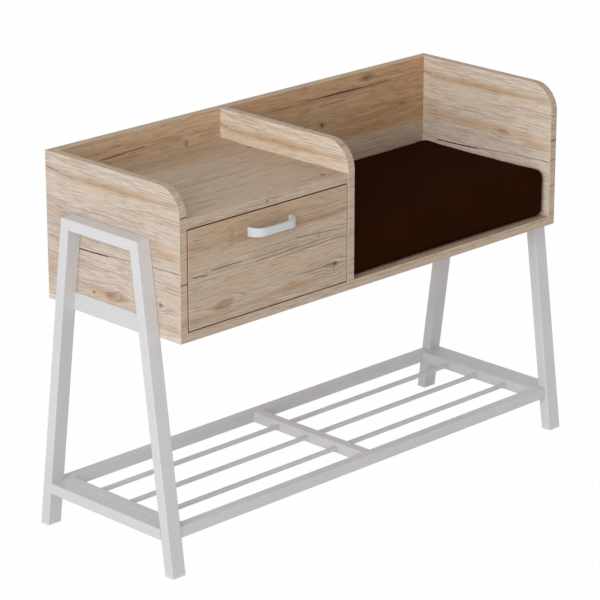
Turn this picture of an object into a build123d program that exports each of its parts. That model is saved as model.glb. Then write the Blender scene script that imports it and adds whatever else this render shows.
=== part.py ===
from build123d import *
from dataclasses import dataclass
from math import cos, hypot, radians, sin
import os

# A shoe bench: a cabinet with one drawer and a cushioned seat bay, carried by two steel
# end frames that a shelf of rods joins near the floor.
# Millimetres. X runs along the bench with the drawer at -X, the front faces -Y and the
# floor is Z = 0. The origin is the middle of the floor under the whole bench.

# Cabinet of laminated board
overall_length = 1000.0
board = 16.0
cabinet_depth = 335.0
cabinet_bottom = 412.0
cabinet_height = 265.0
corner_radius = 50.0
drawer_bay = 376.0
tray_depth = 54.0
edge_break = 0.5

# Steel end frames
tube_across = 30.0
tube_face = 20.0
tube_wall = 1.5
tube_radius = 2.0
frame_height = 580.0
frame_top = 190.0
foot_spread = 344.0
bar_screw_spacing = 126.0
cross_screw_spacing = 230.0
plug_flange = 3.0
plug_insert = 15.0
angle_height = 32.0
angle_under = 25.0
angle_sheet = 3.0
angle_screw_spacing = 110.0

# Shoe shelf
shelf_bottom = 63.0
rail_inset = 3.0
rail = 20.0
rail_radius = 1.5
rod = 7.0
rod_radius = 0.8
rods_per_bay = 3

# Drawer
front_gap = 2.5
runner_room = 12.5
box_depth = 260.0
box_height = 120.0
corner_screw_low = 48.0
corner_screw_high = 96.0
front_screw_inset = 55.0
base_sheet = 3.0
base_lift = 10.0
groove_depth = 6.0
groove_room = 0.2

# Pull
pull_spacing = 96.0
pull_reach = 24.0
pull_height = 16.5
pull_waist = 13.0
pull_thickness = 6.0
pull_bend = 23.0
pull_drop = 23.5
pull_chamfer = 1.2
pull_grip = 6.0

# Roller runners
runner_length = 250.0
runner_lift = 15.0
runner_sheet = 1.2
runner_setback = 2.0
track_reach = 9.5
roller_radius = 9.0
roller_width = 6.0
roller_stand = 3.2
roller_inset = 12.0
runner_screw_inset = 32.0
rolling_gap = 0.3
tip_gap = 1.0
rivet_radius = 2.0
rivet_head = 3.5
rivet_head_height = 0.8
running_fit = 0.05

# Cushion
cushion_height = 90.0
cushion_setback = 9.0
cushion_gap = 1.5
cushion_back_gap = 6.0
cushion_edge = 11.0
cushion_sole = 8.0
cushion_corner = 12.0
cushion_crown = 4.0
crown_share = 0.6
cushion_draw = 2.0
soft_gap = 0.3

# Fasteners
fit = 0.1
tip_room = 1.0
shank_sides = 6
head_sides = 8
pan_sides = 12
dowel_radius = 4.0
dowel_length = 30.0
dowel_seat = 10.0
tip_cover = 4.0
upright_margin = 60.0
back_margin = 55.0


@dataclass
class Screw:
    """Radii of a screw's head and shank, its length under the surface and how its head sits there."""

    head: float
    shank: float
    length: float
    proud: float = 0.0
    sunk: float = 0.0
    sides: int = head_sides


joint_screw = Screw(head=5.0, shank=3.0, length=50.0, sunk=3.0)
front_screw = Screw(head=3.5, shank=1.75, length=2 * board - tip_cover, sunk=2.0)
runner_screw = Screw(head=3.5, shank=1.75, length=13.0, proud=0.8)
angle_screw = Screw(head=4.5, shank=2.0, length=angle_sheet + board - tip_cover, proud=2.4, sides=6)
pull_screw = Screw(head=4.0, shank=2.0, length=2 * board + pull_grip - tip_room, proud=2.4, sides=pan_sides)
frame_screw = Screw(head=4.0, shank=2.5, length=tube_across + board - tip_cover, proud=2.4, sides=pan_sides)
shelf_screw = Screw(head=3.5, shank=2.5, length=tube_across + rail / 2, proud=2.0, sides=pan_sides)

# Planes of the cabinet
foot_reach = foot_spread / 2
front_reach = max(cabinet_depth / 2 + pull_reach, foot_reach)
back_reach = max(cabinet_depth / 2, foot_reach)
mid_y = (front_reach - back_reach) / 2
front = mid_y - cabinet_depth / 2
back = mid_y + cabinet_depth / 2
back_face = back - board
cabinet_length = overall_length - 2 * tube_across
right_end = cabinet_length / 2
left_end = -right_end
cabinet_floor = cabinet_bottom + board
cabinet_top = cabinet_bottom + cabinet_height
bay_left = left_end + board
divider_left = bay_left + drawer_bay
divider_right = divider_left + board
seat_right = right_end - board
tray_floor = cabinet_top - tray_depth
tray_under = tray_floor - board

os.makedirs("parts", exist_ok=True)


def save(piece, name):
    """Name a finished piece and write it."""
    piece.part.label = name
    export_step(piece.part, f"parts/{name}.step")


def driven(x, y, z, way):
    """A plane at the surface a screw goes into, whose Z points the way it is driven."""
    return Plane(origin=(x, y, z), z_dir=way)


UP = (0, 0, 1)
LEFT = (-1, 0, 0)
RIGHT = (1, 0, 0)
FRONTWARD = (0, -1, 0)
BACKWARD = (0, 1, 0)


def prisms(planes, radius, depth, mode, sides=shank_sides):
    """Add or cut equal many-sided pins along the planes' Z in the piece being built."""
    with BuildSketch(*planes, mode=Mode.PRIVATE) as outlines:
        RegularPolygon(radius, sides)
    extrude(outlines.sketch, amount=depth, mode=mode)


def drill(planes, screw):
    """Cut the holes that a set of screws needs in the piece being built."""
    prisms(planes, screw.shank + fit, screw.length + tip_room, Mode.SUBTRACT)
    if screw.sunk:
        prisms(planes, screw.head + fit, screw.sunk, Mode.SUBTRACT, screw.sides)


def drive(planes, screw, name):
    """Make a set of equal screws as one piece of separate solids."""
    with BuildPart() as screws:
        prisms(planes, screw.shank, screw.length, Mode.ADD)
        prisms(planes, screw.head, screw.sunk - screw.proud, Mode.ADD, screw.sides)
    save(screws, name)


def drill_dowels(planes):
    """Cut the dowel holes of the piece being built."""
    prisms(planes, dowel_radius + fit, dowel_length + fit, Mode.SUBTRACT)


# Places of the cabinet's screws and dowels
screw_rows = (front + upright_margin, back_face - upright_margin)
upright_middles = (left_end + board / 2, divider_left + board / 2, right_end - board / 2)
upright_planes = [driven(x, y, cabinet_bottom, UP) for x in upright_middles for y in screw_rows]
back_xs = (bay_left + drawer_bay / 2, (divider_right + seat_right) / 2)
back_planes = [driven(x, back - board / 2, cabinet_bottom, UP) for x in back_xs]
divider_zs = (cabinet_floor + back_margin, cabinet_top - back_margin)
divider_planes = [driven(divider_left + board / 2, back, z, FRONTWARD) for z in divider_zs]
joint_planes = upright_planes + back_planes + divider_planes
back_dowels = [driven(bay_left - dowel_seat, back - board / 2, z, RIGHT) for z in divider_zs]
back_dowels += [driven(seat_right + dowel_seat, back - board / 2, z, LEFT) for z in divider_zs]
tray_dowels = [driven(bay_left - dowel_seat, y, tray_floor - board / 2, RIGHT) for y in screw_rows]
tray_dowels += [driven(divider_left + dowel_seat, y, tray_floor - board / 2, LEFT) for y in screw_rows]

# Places of the frame's screws
bar_middle = frame_height - tube_face / 2
bar_screw_ys = (mid_y - bar_screw_spacing / 2, mid_y + bar_screw_spacing / 2)
frame_planes = [driven(-overall_length / 2, y, bar_middle, RIGHT) for y in bar_screw_ys]
frame_planes += [driven(overall_length / 2, y, bar_middle, LEFT) for y in bar_screw_ys]
angle_ys = (mid_y - angle_screw_spacing / 2, mid_y + angle_screw_spacing / 2)
angle_inset = board + (angle_under - board) / 2
angle_planes = [driven(left_end + angle_inset, y, cabinet_bottom - angle_sheet, UP) for y in angle_ys]
angle_planes += [driven(right_end - angle_inset, y, cabinet_bottom - angle_sheet, UP) for y in angle_ys]

# Places of the runners
track = cabinet_floor + runner_lift
flange_under = 2 * roller_radius + 2 * rolling_gap
flange_top = flange_under + runner_sheet
channel_top = flange_top + tip_gap + runner_sheet
box_front = front + board
runner_front = box_front + runner_setback
runner_back = runner_front + runner_length
roller_z = track + rolling_gap + roller_radius
track_walls = {"left": (bay_left, 1), "right": (divider_left, -1)}
runner_ys = (runner_front + runner_screw_inset, runner_back - runner_screw_inset)


def track_planes(side):
    """Planes of one side's screws that hold the cabinet's runner to its wall."""
    wall, inward = track_walls[side]
    return [driven(wall + inward * runner_sheet, y, roller_z, (-inward, 0, 0)) for y in runner_ys]


# Cabinet boards

with BuildPart() as bottom_panel:
    with BuildSketch(Plane.XY.offset(cabinet_bottom)):
        with Locations((0, mid_y)):
            Rectangle(cabinet_length, cabinet_depth)
    extrude(amount=board)
    chamfer(bottom_panel.edges(), edge_break)
    drill(upright_planes + back_planes, joint_screw)
    drill(angle_planes, angle_screw)
save(bottom_panel, "bottom_panel")


def upright(name, x_from, y_to, jobs):
    """A board that stands on the bottom panel with its top front corner rounded."""
    with BuildPart() as panel:
        with BuildSketch(Plane.YZ.offset(x_from)) as face:
            with Locations((front, cabinet_floor)):
                Rectangle(y_to - front, cabinet_top - cabinet_floor, align=(Align.MIN, Align.MIN))
            fillet(face.vertices().group_by(Axis.Y)[-1].sort_by(Axis.X)[0], corner_radius)
        extrude(amount=board)
        chamfer(panel.edges(), edge_break)
        for planes, screw in jobs:
            drill(planes, screw)
        drill_dowels(back_dowels + tray_dowels)
    save(panel, name)


upright(
    "left_side_panel",
    left_end,
    back,
    [(upright_planes, joint_screw), (frame_planes, frame_screw), (track_planes("left"), runner_screw)],
)
upright("right_side_panel", seat_right, back, [(upright_planes, joint_screw), (frame_planes, frame_screw)])
upright(
    "divider_panel",
    divider_left,
    back_face,
    [
        (upright_planes, joint_screw),
        (divider_planes, joint_screw),
        (track_planes("right"), runner_screw),
    ],
)

with BuildPart() as back_panel:
    with BuildSketch(Plane.XZ.offset(-back)):
        with Locations((bay_left, cabinet_floor)):
            Rectangle(seat_right - bay_left, cabinet_top - cabinet_floor, align=(Align.MIN, Align.MIN))
    extrude(amount=board)
    chamfer(back_panel.edges(), edge_break)
    drill(back_planes + divider_planes, joint_screw)
    drill_dowels(back_dowels)
save(back_panel, "back_panel")

with BuildPart() as top_panel:
    with BuildSketch(Plane.XY.offset(tray_under)):
        with Locations((bay_left, front)):
            Rectangle(drawer_bay, back_face - front, align=(Align.MIN, Align.MIN))
    extrude(amount=board)
    chamfer(top_panel.edges(), edge_break)
    drill_dowels(tray_dowels)
save(top_panel, "top_panel")

drive(joint_planes, joint_screw, "cabinet_screws")

with BuildPart() as dowels:
    prisms(back_dowels + tray_dowels, dowel_radius, dowel_length, Mode.ADD)
save(dowels, "cabinet_dowels")

# Steel end frames

slope = (foot_spread - frame_top) / 2 / frame_height
leg_level = tube_face * hypot(1, slope)
bar_under = frame_height - tube_face


def leg_outer(z):
    """Distance of a leg's outer face from the frame's middle at a height."""
    return foot_reach - slope * z


def leg_inner(z):
    """Distance of a leg's inner face from the frame's middle at a height."""
    return leg_outer(z) - leg_level


def between(start, end, share):
    """The point a share of the way from one point to another."""
    return (start[0] + (end[0] - start[0]) * share, start[1] + (end[1] - start[1]) * share)


def band(first, last, margin):
    """Outline of a bar between two end cuts, less a margin of its width on both long sides."""
    shares = (margin, 1 - margin)
    corners = [between(*first, shares[0]), between(*first, shares[1])]
    corners += [between(*last, shares[1]), between(*last, shares[0])]
    return [(mid_y + y, z) for y, z in corners]


def frame_tube(name, x_from, first, last, lean, planes=(), screw=None):
    """A hollow bar of an end frame, drawn from the bench's end between two end cuts."""
    with BuildPart() as tube:
        with BuildSketch(Plane.YZ.offset(x_from)):
            Polygon(*band(first, last, 0), align=None)
        extrude(amount=tube_across)
        fillet(tube.edges().filter_by(lean), tube_radius)
        with BuildSketch(Plane.YZ.offset(x_from + tube_wall)):
            Polygon(*band(first, last, tube_wall / tube_face), align=None)
        extrude(amount=tube_across - 2 * tube_wall, mode=Mode.SUBTRACT)
        if planes:
            drill(planes, screw)
    save(tube, name)


def mirrored(cut):
    """An end cut on the other side of the frame's middle."""
    return [(-y, z) for y, z in cut]


shelf_middle = shelf_bottom + rail / 2
bar_top = shelf_middle + tube_face / 2
bar_bottom = shelf_middle - tube_face / 2
rail_outer = leg_outer(shelf_middle) - rail_inset
rail_inner = rail_outer - rail
shelf_ys = (mid_y - cross_screw_spacing / 2, mid_y + cross_screw_spacing / 2)
shelf_planes = [driven(-overall_length / 2, y, shelf_middle, RIGHT) for y in shelf_ys]
shelf_planes += [driven(overall_length / 2, y, shelf_middle, LEFT) for y in shelf_ys]

mitre = [(frame_top / 2, frame_height), (leg_inner(bar_under), bar_under)]
foot_cut = [(leg_outer(plug_flange), plug_flange), (leg_inner(plug_flange), plug_flange)]
cross_cut = [(leg_inner(bar_bottom), bar_bottom), (leg_inner(bar_top), bar_top)]
lean_back = Axis((0, 0, 0), (0, -slope, 1))
lean_front = Axis((0, 0, 0), (0, slope, 1))
insert_top = plug_flange + plug_insert
insert_cut = [(leg_outer(insert_top), insert_top), (leg_inner(insert_top), insert_top)]
floor_cut = [(leg_outer(0), 0), (leg_inner(0), 0)]


def foot_plug(name, x_from, floor_end, leg_end, insert_end, lean):
    """A plastic plug whose flange closes the end of a leg and whose insert stays in the tube."""
    inside = tube_wall + fit
    with BuildPart() as plug:
        with BuildSketch(Plane.YZ.offset(x_from)):
            Polygon(*band(floor_end, leg_end, 0), align=None)
        extrude(amount=tube_across)
        fillet(plug.edges().filter_by(lean), tube_radius)
        with BuildSketch(Plane.YZ.offset(x_from + inside)):
            Polygon(*band(leg_end, insert_end, inside / tube_face), align=None)
        extrude(amount=tube_across - 2 * inside)
    save(plug, name)


def support_angle(name, wall, outward):
    """A folded sheet between the legs, upright against the cabinet's end and level under its bottom."""
    low = cabinet_bottom - angle_sheet
    high = low + angle_height
    outside = wall + outward * angle_sheet
    with BuildPart() as angle:
        with BuildSketch(Plane.YZ.offset(min(wall, outside))):
            corners = [(-leg_inner(low), low), (leg_inner(low), low)]
            corners += [(leg_inner(high), high), (-leg_inner(high), high)]
            Polygon(*[(mid_y + y, z) for y, z in corners], align=None)
        extrude(amount=angle_sheet)
        with BuildSketch(Plane.XY.offset(low)):
            with Locations(((outside + wall - outward * angle_under) / 2, mid_y)):
                Rectangle(angle_under + angle_sheet, 2 * leg_inner(low + angle_sheet))
        extrude(amount=angle_sheet)
        drill(angle_planes, angle_screw)
    save(angle, name)


for end, x_from, wall, outward in (
    ("left", -overall_length / 2, left_end, -1),
    ("right", right_end, right_end, 1),
):
    frame_tube(f"{end}_rear_leg", x_from, foot_cut, mitre, lean_back)
    frame_tube(f"{end}_front_leg", x_from, mirrored(foot_cut), mirrored(mitre), lean_front)
    frame_tube(f"{end}_top_bar", x_from, mirrored(mitre), mitre, Axis.Y, frame_planes, frame_screw)
    frame_tube(
        f"{end}_cross_bar",
        x_from,
        mirrored(cross_cut),
        cross_cut,
        Axis.Y,
        shelf_planes,
        shelf_screw,
    )
    support_angle(f"{end}_support_angle", wall, outward)
    foot_plug(f"{end}_rear_foot", x_from, floor_cut, foot_cut, insert_cut, lean_back)
    foot_plug(
        f"{end}_front_foot",
        x_from,
        mirrored(floor_cut),
        mirrored(foot_cut),
        mirrored(insert_cut),
        lean_front,
    )

drive(frame_planes, frame_screw, "frame_screws")
drive(angle_planes, angle_screw, "angle_screws")
drive(shelf_planes, shelf_screw, "shelf_screws")

# Shoe shelf


def square_tube(name, plane, length, planes=()):
    """A square tube of the shelf, drawn along a plane's normal."""
    with BuildPart() as tube:
        with BuildSketch(plane):
            RectangleRounded(rail, rail, rail_radius)
            Rectangle(rail - 2 * tube_wall, rail - 2 * tube_wall, mode=Mode.SUBTRACT)
        extrude(amount=length)
        if planes:
            drill(planes, shelf_screw)
    save(tube, name)


rail_reach = rail_outer - rail / 2
for name, y in (("shelf_front_rail", mid_y - rail_reach), ("shelf_rear_rail", mid_y + rail_reach)):
    rail_plane = Plane(origin=(left_end, y, shelf_middle), x_dir=BACKWARD, z_dir=RIGHT)
    square_tube(name, rail_plane, cabinet_length)

bar_places = {"left_end": left_end + rail / 2, "middle": 0.0, "right_end": right_end - rail / 2}
for place, x in bar_places.items():
    bar_plane = Plane(origin=(x, mid_y - rail_inner, shelf_middle), x_dir=LEFT, z_dir=BACKWARD)
    square_tube(f"shelf_{place}_bar", bar_plane, 2 * rail_inner, shelf_planes if x else ())

rod_pitch = 2 * rail_reach / (rods_per_bay + 1)
for bay, x_from, x_to in (
    ("left", bar_places["left_end"] + rail / 2, -rail / 2),
    ("right", rail / 2, bar_places["right_end"] - rail / 2),
):
    for number in range(1, rods_per_bay + 1):
        rod_y = mid_y - rail_reach + number * rod_pitch
        with BuildPart() as shelf_rod:
            with BuildSketch(Plane(origin=(x_from, rod_y, shelf_middle), x_dir=BACKWARD, z_dir=RIGHT)):
                RectangleRounded(rod, rod, rod_radius)
            extrude(amount=x_to - x_from)
        save(shelf_rod, f"shelf_{bay}_rod_{number}")

# Drawer box and front

facade_left = bay_left + front_gap
facade_right = divider_left - front_gap
facade_low = cabinet_floor + front_gap
facade_high = tray_under - front_gap
drawer_middle = (facade_left + facade_right) / 2
box_left = bay_left + runner_room
box_right = divider_left - runner_room
box_inner_left = box_left + board
box_inner_right = box_right - board
box_low = track - 2 * runner_sheet
box_high = box_low + box_height
box_back = box_front + box_depth
base_under = box_low + base_lift
base_top = base_under + base_sheet
box_front_face = box_front + board
pull_z = facade_high - pull_drop - pull_height / 2
pull_xs = (drawer_middle - pull_spacing / 2, drawer_middle + pull_spacing / 2)

corner_zs = (box_low + corner_screw_low, box_low + corner_screw_high)
corner_ys = (box_front + board / 2, box_back - board / 2)
corner_planes = [driven(box_left, y, z, RIGHT) for y in corner_ys for z in corner_zs]
corner_planes += [driven(box_right, y, z, LEFT) for y in corner_ys for z in corner_zs]
facade_xs = (box_inner_left + front_screw_inset, box_inner_right - front_screw_inset)
facade_planes = [driven(x, box_front_face, z, FRONTWARD) for x in facade_xs for z in corner_zs]
pull_planes = [driven(x, box_front_face, pull_z, FRONTWARD) for x in pull_xs]
flange_screw_inset = board / 2
flange_seat = box_low - runner_sheet
flange_planes = {
    "left": [driven(box_left + flange_screw_inset, y, flange_seat, UP) for y in runner_ys],
    "right": [driven(box_right - flange_screw_inset, y, flange_seat, UP) for y in runner_ys],
}

with BuildPart() as drawer_front:
    with BuildSketch(Plane.XZ.offset(-box_front)):
        with Locations((facade_left, facade_low)):
            Rectangle(facade_right - facade_left, facade_high - facade_low, align=(Align.MIN, Align.MIN))
    extrude(amount=board)
    chamfer(drawer_front.edges(), edge_break)
    drill(facade_planes, front_screw)
    drill(pull_planes, pull_screw)
save(drawer_front, "drawer_front")

groove_height = base_sheet + groove_room
for side, x_from, groove_from in (
    ("left", box_left, box_inner_left - groove_depth),
    ("right", box_inner_right, box_inner_right),
):
    with BuildPart() as drawer_side:
        with BuildSketch(Plane.YZ.offset(x_from)):
            with Locations((box_front, box_low)):
                Rectangle(box_depth, box_height, align=(Align.MIN, Align.MIN))
        extrude(amount=board)
        chamfer(drawer_side.edges(), edge_break)
        with BuildSketch(Plane.YZ.offset(groove_from)):
            with Locations((box_front, base_under)):
                Rectangle(box_depth, groove_height, align=(Align.MIN, Align.MIN))
        extrude(amount=groove_depth, mode=Mode.SUBTRACT)
        drill(corner_planes, joint_screw)
        drill(flange_planes[side], runner_screw)
    save(drawer_side, f"drawer_{side}_side")

box_inner_width = box_inner_right - box_inner_left

with BuildPart() as drawer_inner_front:
    with BuildSketch(Plane.XZ.offset(-box_front_face)):
        with Locations((box_inner_left, box_low)):
            Rectangle(box_inner_width, box_height, align=(Align.MIN, Align.MIN))
    extrude(amount=board)
    chamfer(drawer_inner_front.edges(), edge_break)
    with BuildSketch(Plane.XZ.offset(-box_front_face)):
        with Locations((box_inner_left, base_under)):
            Rectangle(box_inner_width, groove_height, align=(Align.MIN, Align.MIN))
    extrude(amount=groove_depth, mode=Mode.SUBTRACT)
    drill(corner_planes, joint_screw)
    drill(facade_planes, front_screw)
    drill(pull_planes, pull_screw)
save(drawer_inner_front, "drawer_inner_front")

with BuildPart() as drawer_back:
    with BuildSketch(Plane.XZ.offset(-box_back)):
        with Locations((box_inner_left, base_top)):
            Rectangle(box_inner_width, box_high - base_top, align=(Align.MIN, Align.MIN))
    extrude(amount=board)
    chamfer(drawer_back.edges(), edge_break)
    drill(corner_planes, joint_screw)
save(drawer_back, "drawer_back")

base_tuck = groove_depth - groove_room
with BuildPart() as drawer_base:
    with BuildSketch(Plane.XY.offset(base_under)):
        with Locations((box_inner_left - base_tuck, box_front_face - base_tuck)):
            Rectangle(
                box_inner_width + 2 * base_tuck,
                box_back - box_front_face + base_tuck,
                align=(Align.MIN, Align.MIN),
            )
    extrude(amount=base_sheet)
save(drawer_base, "drawer_base")

with BuildPart() as drawer_pull:
    pull_left = pull_xs[0] - pull_thickness / 2
    pull_right = pull_xs[1] + pull_thickness / 2
    pull_front = front - pull_reach
    pull_low = pull_z - pull_height / 2
    pull_high = pull_z + pull_height / 2
    waist_low = pull_z - pull_waist / 2
    waist_high = pull_z + pull_waist / 2
    with BuildSketch(Plane.XY.offset(pull_low)):
        with BuildLine():
            FilletPolyline(
                (pull_left, front),
                (pull_left, pull_front),
                (pull_right, pull_front),
                (pull_right, front),
                radius=pull_bend,
            )
            Line((pull_right, front), (pull_right - pull_thickness, front))
            FilletPolyline(
                (pull_right - pull_thickness, front),
                (pull_right - pull_thickness, pull_front + pull_thickness),
                (pull_left + pull_thickness, pull_front + pull_thickness),
                (pull_left + pull_thickness, front),
                radius=pull_bend - pull_thickness,
            )
            Line((pull_left + pull_thickness, front), (pull_left, front))
        make_face()
    extrude(amount=pull_height)
    with BuildSketch(Plane.XZ.offset(-front)):
        with BuildLine():
            ThreePointArc((pull_left, pull_high), (drawer_middle, waist_high), (pull_right, pull_high))
            Line((pull_right, pull_high), (pull_right, pull_low))
            ThreePointArc((pull_right, pull_low), (drawer_middle, waist_low), (pull_left, pull_low))
            Line((pull_left, pull_low), (pull_left, pull_high))
        make_face()
    extrude(amount=pull_reach, mode=Mode.INTERSECT)
    seat_edges = drawer_pull.faces().sort_by(Axis.Y)[-2:].edges()
    rims = drawer_pull.edges().filter_by(Axis.Z, reverse=True) - seat_edges
    chamfer(rims, pull_chamfer)
    drill(pull_planes, pull_screw)
save(drawer_pull, "drawer_pull")

drive(corner_planes, joint_screw, "drawer_corner_screws")
drive(facade_planes, front_screw, "drawer_front_screws")
drive(pull_planes, pull_screw, "pull_screws")

# Roller runners

flange_from = roller_stand - rolling_gap
web_from = runner_room - runner_sheet
drawer_roller_y = runner_back - roller_inset
track_roller_y = runner_front + roller_inset
head_room = roller_stand + roller_width


def runner_profile(wall, inward, corners):
    """Outline of a rolled runner, from distances off the wall and heights over the track."""
    return [(wall + inward * off, track + height) for off, height in corners]


channel = [
    (0, -runner_sheet),
    (track_reach, -runner_sheet),
    (track_reach, 0),
    (runner_sheet, 0),
    (runner_sheet, channel_top - runner_sheet),
    (track_reach, channel_top - runner_sheet),
    (track_reach, channel_top),
    (0, channel_top),
]
carrier_under = box_low - track - runner_sheet
carrier = [
    (flange_from, flange_under),
    (web_from, flange_under),
    (web_from, carrier_under),
    (runner_room + board, carrier_under),
    (runner_room + board, carrier_under + runner_sheet),
    (runner_room, carrier_under + runner_sheet),
    (runner_room, flange_top),
    (flange_from, flange_top),
]


def roller(name, x_from, y):
    """A plastic roller with its bore."""
    with BuildPart() as wheel:
        with BuildSketch(Plane(origin=(x_from, y, roller_z), x_dir=BACKWARD, z_dir=RIGHT)):
            Circle(roller_radius)
            Circle(rivet_radius + running_fit, mode=Mode.SUBTRACT)
        extrude(amount=roller_width)
    save(wheel, name)


def rivets(name, seats):
    """Rivets that carry one roller each: a shoulder on the sheet, the axle and a head."""
    with BuildPart() as pins:
        for root, outward, y, shoulder_length in seats:
            seat = Plane(origin=(root, y, roller_z), z_dir=(outward, 0, 0))
            axle = shoulder_length + roller_width + 2 * running_fit
            prisms([seat], rivet_head, shoulder_length, Mode.ADD, pan_sides)
            with Locations(seat):
                Cylinder(rivet_radius, axle, align=(Align.CENTER, Align.CENTER, Align.MIN))
            prisms([seat.offset(axle)], rivet_head, rivet_head_height, Mode.ADD, pan_sides)
    save(pins, name)


track_seats, drawer_seats = [], []
for side, (wall, inward) in track_walls.items():
    with BuildPart() as track_runner:
        with BuildSketch(Plane.XZ.offset(-runner_back)):
            Polygon(*runner_profile(wall, inward, channel), align=None)
        extrude(amount=runner_length)
        drill(track_planes(side), runner_screw)
    save(track_runner, f"{side}_track_runner")

    with BuildPart() as drawer_runner:
        with BuildSketch(Plane.XZ.offset(-runner_back)):
            Polygon(*runner_profile(wall, inward, carrier), align=None)
        extrude(amount=runner_length)
        drill(flange_planes[side], runner_screw)
    save(drawer_runner, f"{side}_drawer_runner")

    roller_from = wall + inward * roller_stand
    roller_left = min(roller_from, roller_from + inward * roller_width)
    roller(f"{side}_track_roller", roller_left, track_roller_y)
    roller(f"{side}_drawer_roller", roller_left, drawer_roller_y)
    track_seats.append(
        (wall + inward * runner_sheet, inward, track_roller_y, roller_stand - runner_sheet - running_fit)
    )
    drawer_seats.append(
        (wall + inward * web_from, -inward, drawer_roller_y, web_from - head_room - running_fit)
    )

rivets("track_rivets", track_seats)
rivets("drawer_rivets", drawer_seats)
drive(track_planes("left") + track_planes("right"), runner_screw, "track_screws")
drive(flange_planes["left"] + flange_planes["right"], runner_screw, "drawer_runner_screws")

# Seat cushion

cushion_left = divider_right + cushion_gap
cushion_right = seat_right - cushion_gap
cushion_front = front + cushion_setback
cushion_back = back_face - cushion_back_gap
cushion_low = cabinet_floor + soft_gap
cushion_middle = ((cushion_left + cushion_right) / 2, (cushion_front + cushion_back) / 2)
cushion_half = ((cushion_right - cushion_left) / 2, (cushion_back - cushion_front) / 2)
edge_bow = cushion_edge * (1 - cos(radians(45)))
crown_inset = cushion_edge + crown_share * (cushion_half[1] - 2 * cushion_edge)
cushion_sections = [
    (cushion_sole, 0),
    (0, cushion_sole),
    (0, cushion_height - cushion_edge),
    (edge_bow, cushion_height - edge_bow),
    (cushion_edge, cushion_height),
    (crown_inset, cushion_height + cushion_crown * sin(radians(90 * crown_share))),
]

with BuildPart() as seat_cushion:
    for inset, rise in cushion_sections:
        half_x = cushion_half[0] - inset
        half_y = cushion_half[1] - inset
        turn = min(cushion_corner, half_y / 2)
        bow = turn * (1 - cos(radians(45)))
        draw = cushion_draw * half_y / cushion_half[1]
        with BuildSketch(Plane(origin=(*cushion_middle, cushion_low + rise))):
            with BuildLine():
                for quarter in range(4):
                    sx = (1, -1, -1, 1)[quarter]
                    sy = (1, 1, -1, -1)[quarter]
                    along = (sx * (half_x - turn), sy * half_y)
                    across = (sx * half_x, sy * (half_y - turn))
                    knee = (sx * (half_x - bow), sy * (half_y - bow))
                    ThreePointArc(along, knee, across)
                for sign in (1, -1):
                    ThreePointArc(
                        (-(half_x - turn), sign * half_y),
                        (0, sign * (half_y - draw)),
                        (half_x - turn, sign * half_y),
                    )
                    ThreePointArc(
                        (sign * half_x, -(half_y - turn)),
                        (sign * (half_x - draw), 0),
                        (sign * half_x, half_y - turn),
                    )
            make_face()
    loft(ruled=True)
save(seat_cushion, "seat_cushion")
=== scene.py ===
"""A shoe bench with a drawer, a tray and a cushioned seat, dressed for its picture.

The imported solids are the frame. Boards, tubes and runners keep their solids and get finishes, and
the cushion, the bow pull and the screws are modelled here. Metres, with the floor at Z = 0.
"""

import logging
import math
from abc import ABC, abstractmethod
from contextlib import contextmanager
from dataclasses import dataclass, field
from enum import Enum
from typing import Callable, Iterator, Optional, Sequence, Union

import bmesh
import bpy
from mathutils import Matrix, Vector


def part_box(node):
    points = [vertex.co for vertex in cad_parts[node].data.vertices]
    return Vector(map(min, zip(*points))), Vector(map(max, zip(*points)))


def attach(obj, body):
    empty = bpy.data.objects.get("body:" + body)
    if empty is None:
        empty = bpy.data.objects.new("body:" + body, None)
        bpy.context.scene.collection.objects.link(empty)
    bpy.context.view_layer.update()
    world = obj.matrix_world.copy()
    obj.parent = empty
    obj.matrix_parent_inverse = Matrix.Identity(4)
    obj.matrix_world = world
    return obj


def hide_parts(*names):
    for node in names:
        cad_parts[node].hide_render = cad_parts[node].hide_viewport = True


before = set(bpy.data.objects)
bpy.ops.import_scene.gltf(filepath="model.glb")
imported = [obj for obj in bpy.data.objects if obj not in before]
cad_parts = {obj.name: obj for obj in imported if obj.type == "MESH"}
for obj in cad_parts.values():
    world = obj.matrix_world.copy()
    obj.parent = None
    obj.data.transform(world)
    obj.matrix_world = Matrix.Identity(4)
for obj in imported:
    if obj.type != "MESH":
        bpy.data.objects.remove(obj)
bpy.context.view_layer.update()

LOG = logging.getLogger("bench")
MM = 0.001
NEAR = 0.01 * MM  # two points this near are one
Colour = tuple[float, float, float, float]
Place = tuple[float, float]
Number = Union[float, "Socket"]


def srgb(red: int, green: int, blue: int) -> Colour:
    """Turn a colour as a screen shows it into the linear values that shaders use.

    Args:
        red: Red from 0 to 255.
        green: Green from 0 to 255.
        blue: Blue from 0 to 255.

    Returns:
        Linear red, green, blue and an alpha of 1.
    """
    shares = [level / 255 for level in (red, green, blue)]
    linear = [s / 12.92 if s <= 0.04045 else ((s + 0.055) / 1.055) ** 2.4 for s in shares]
    return (linear[0], linear[1], linear[2], 1.0)


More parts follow.
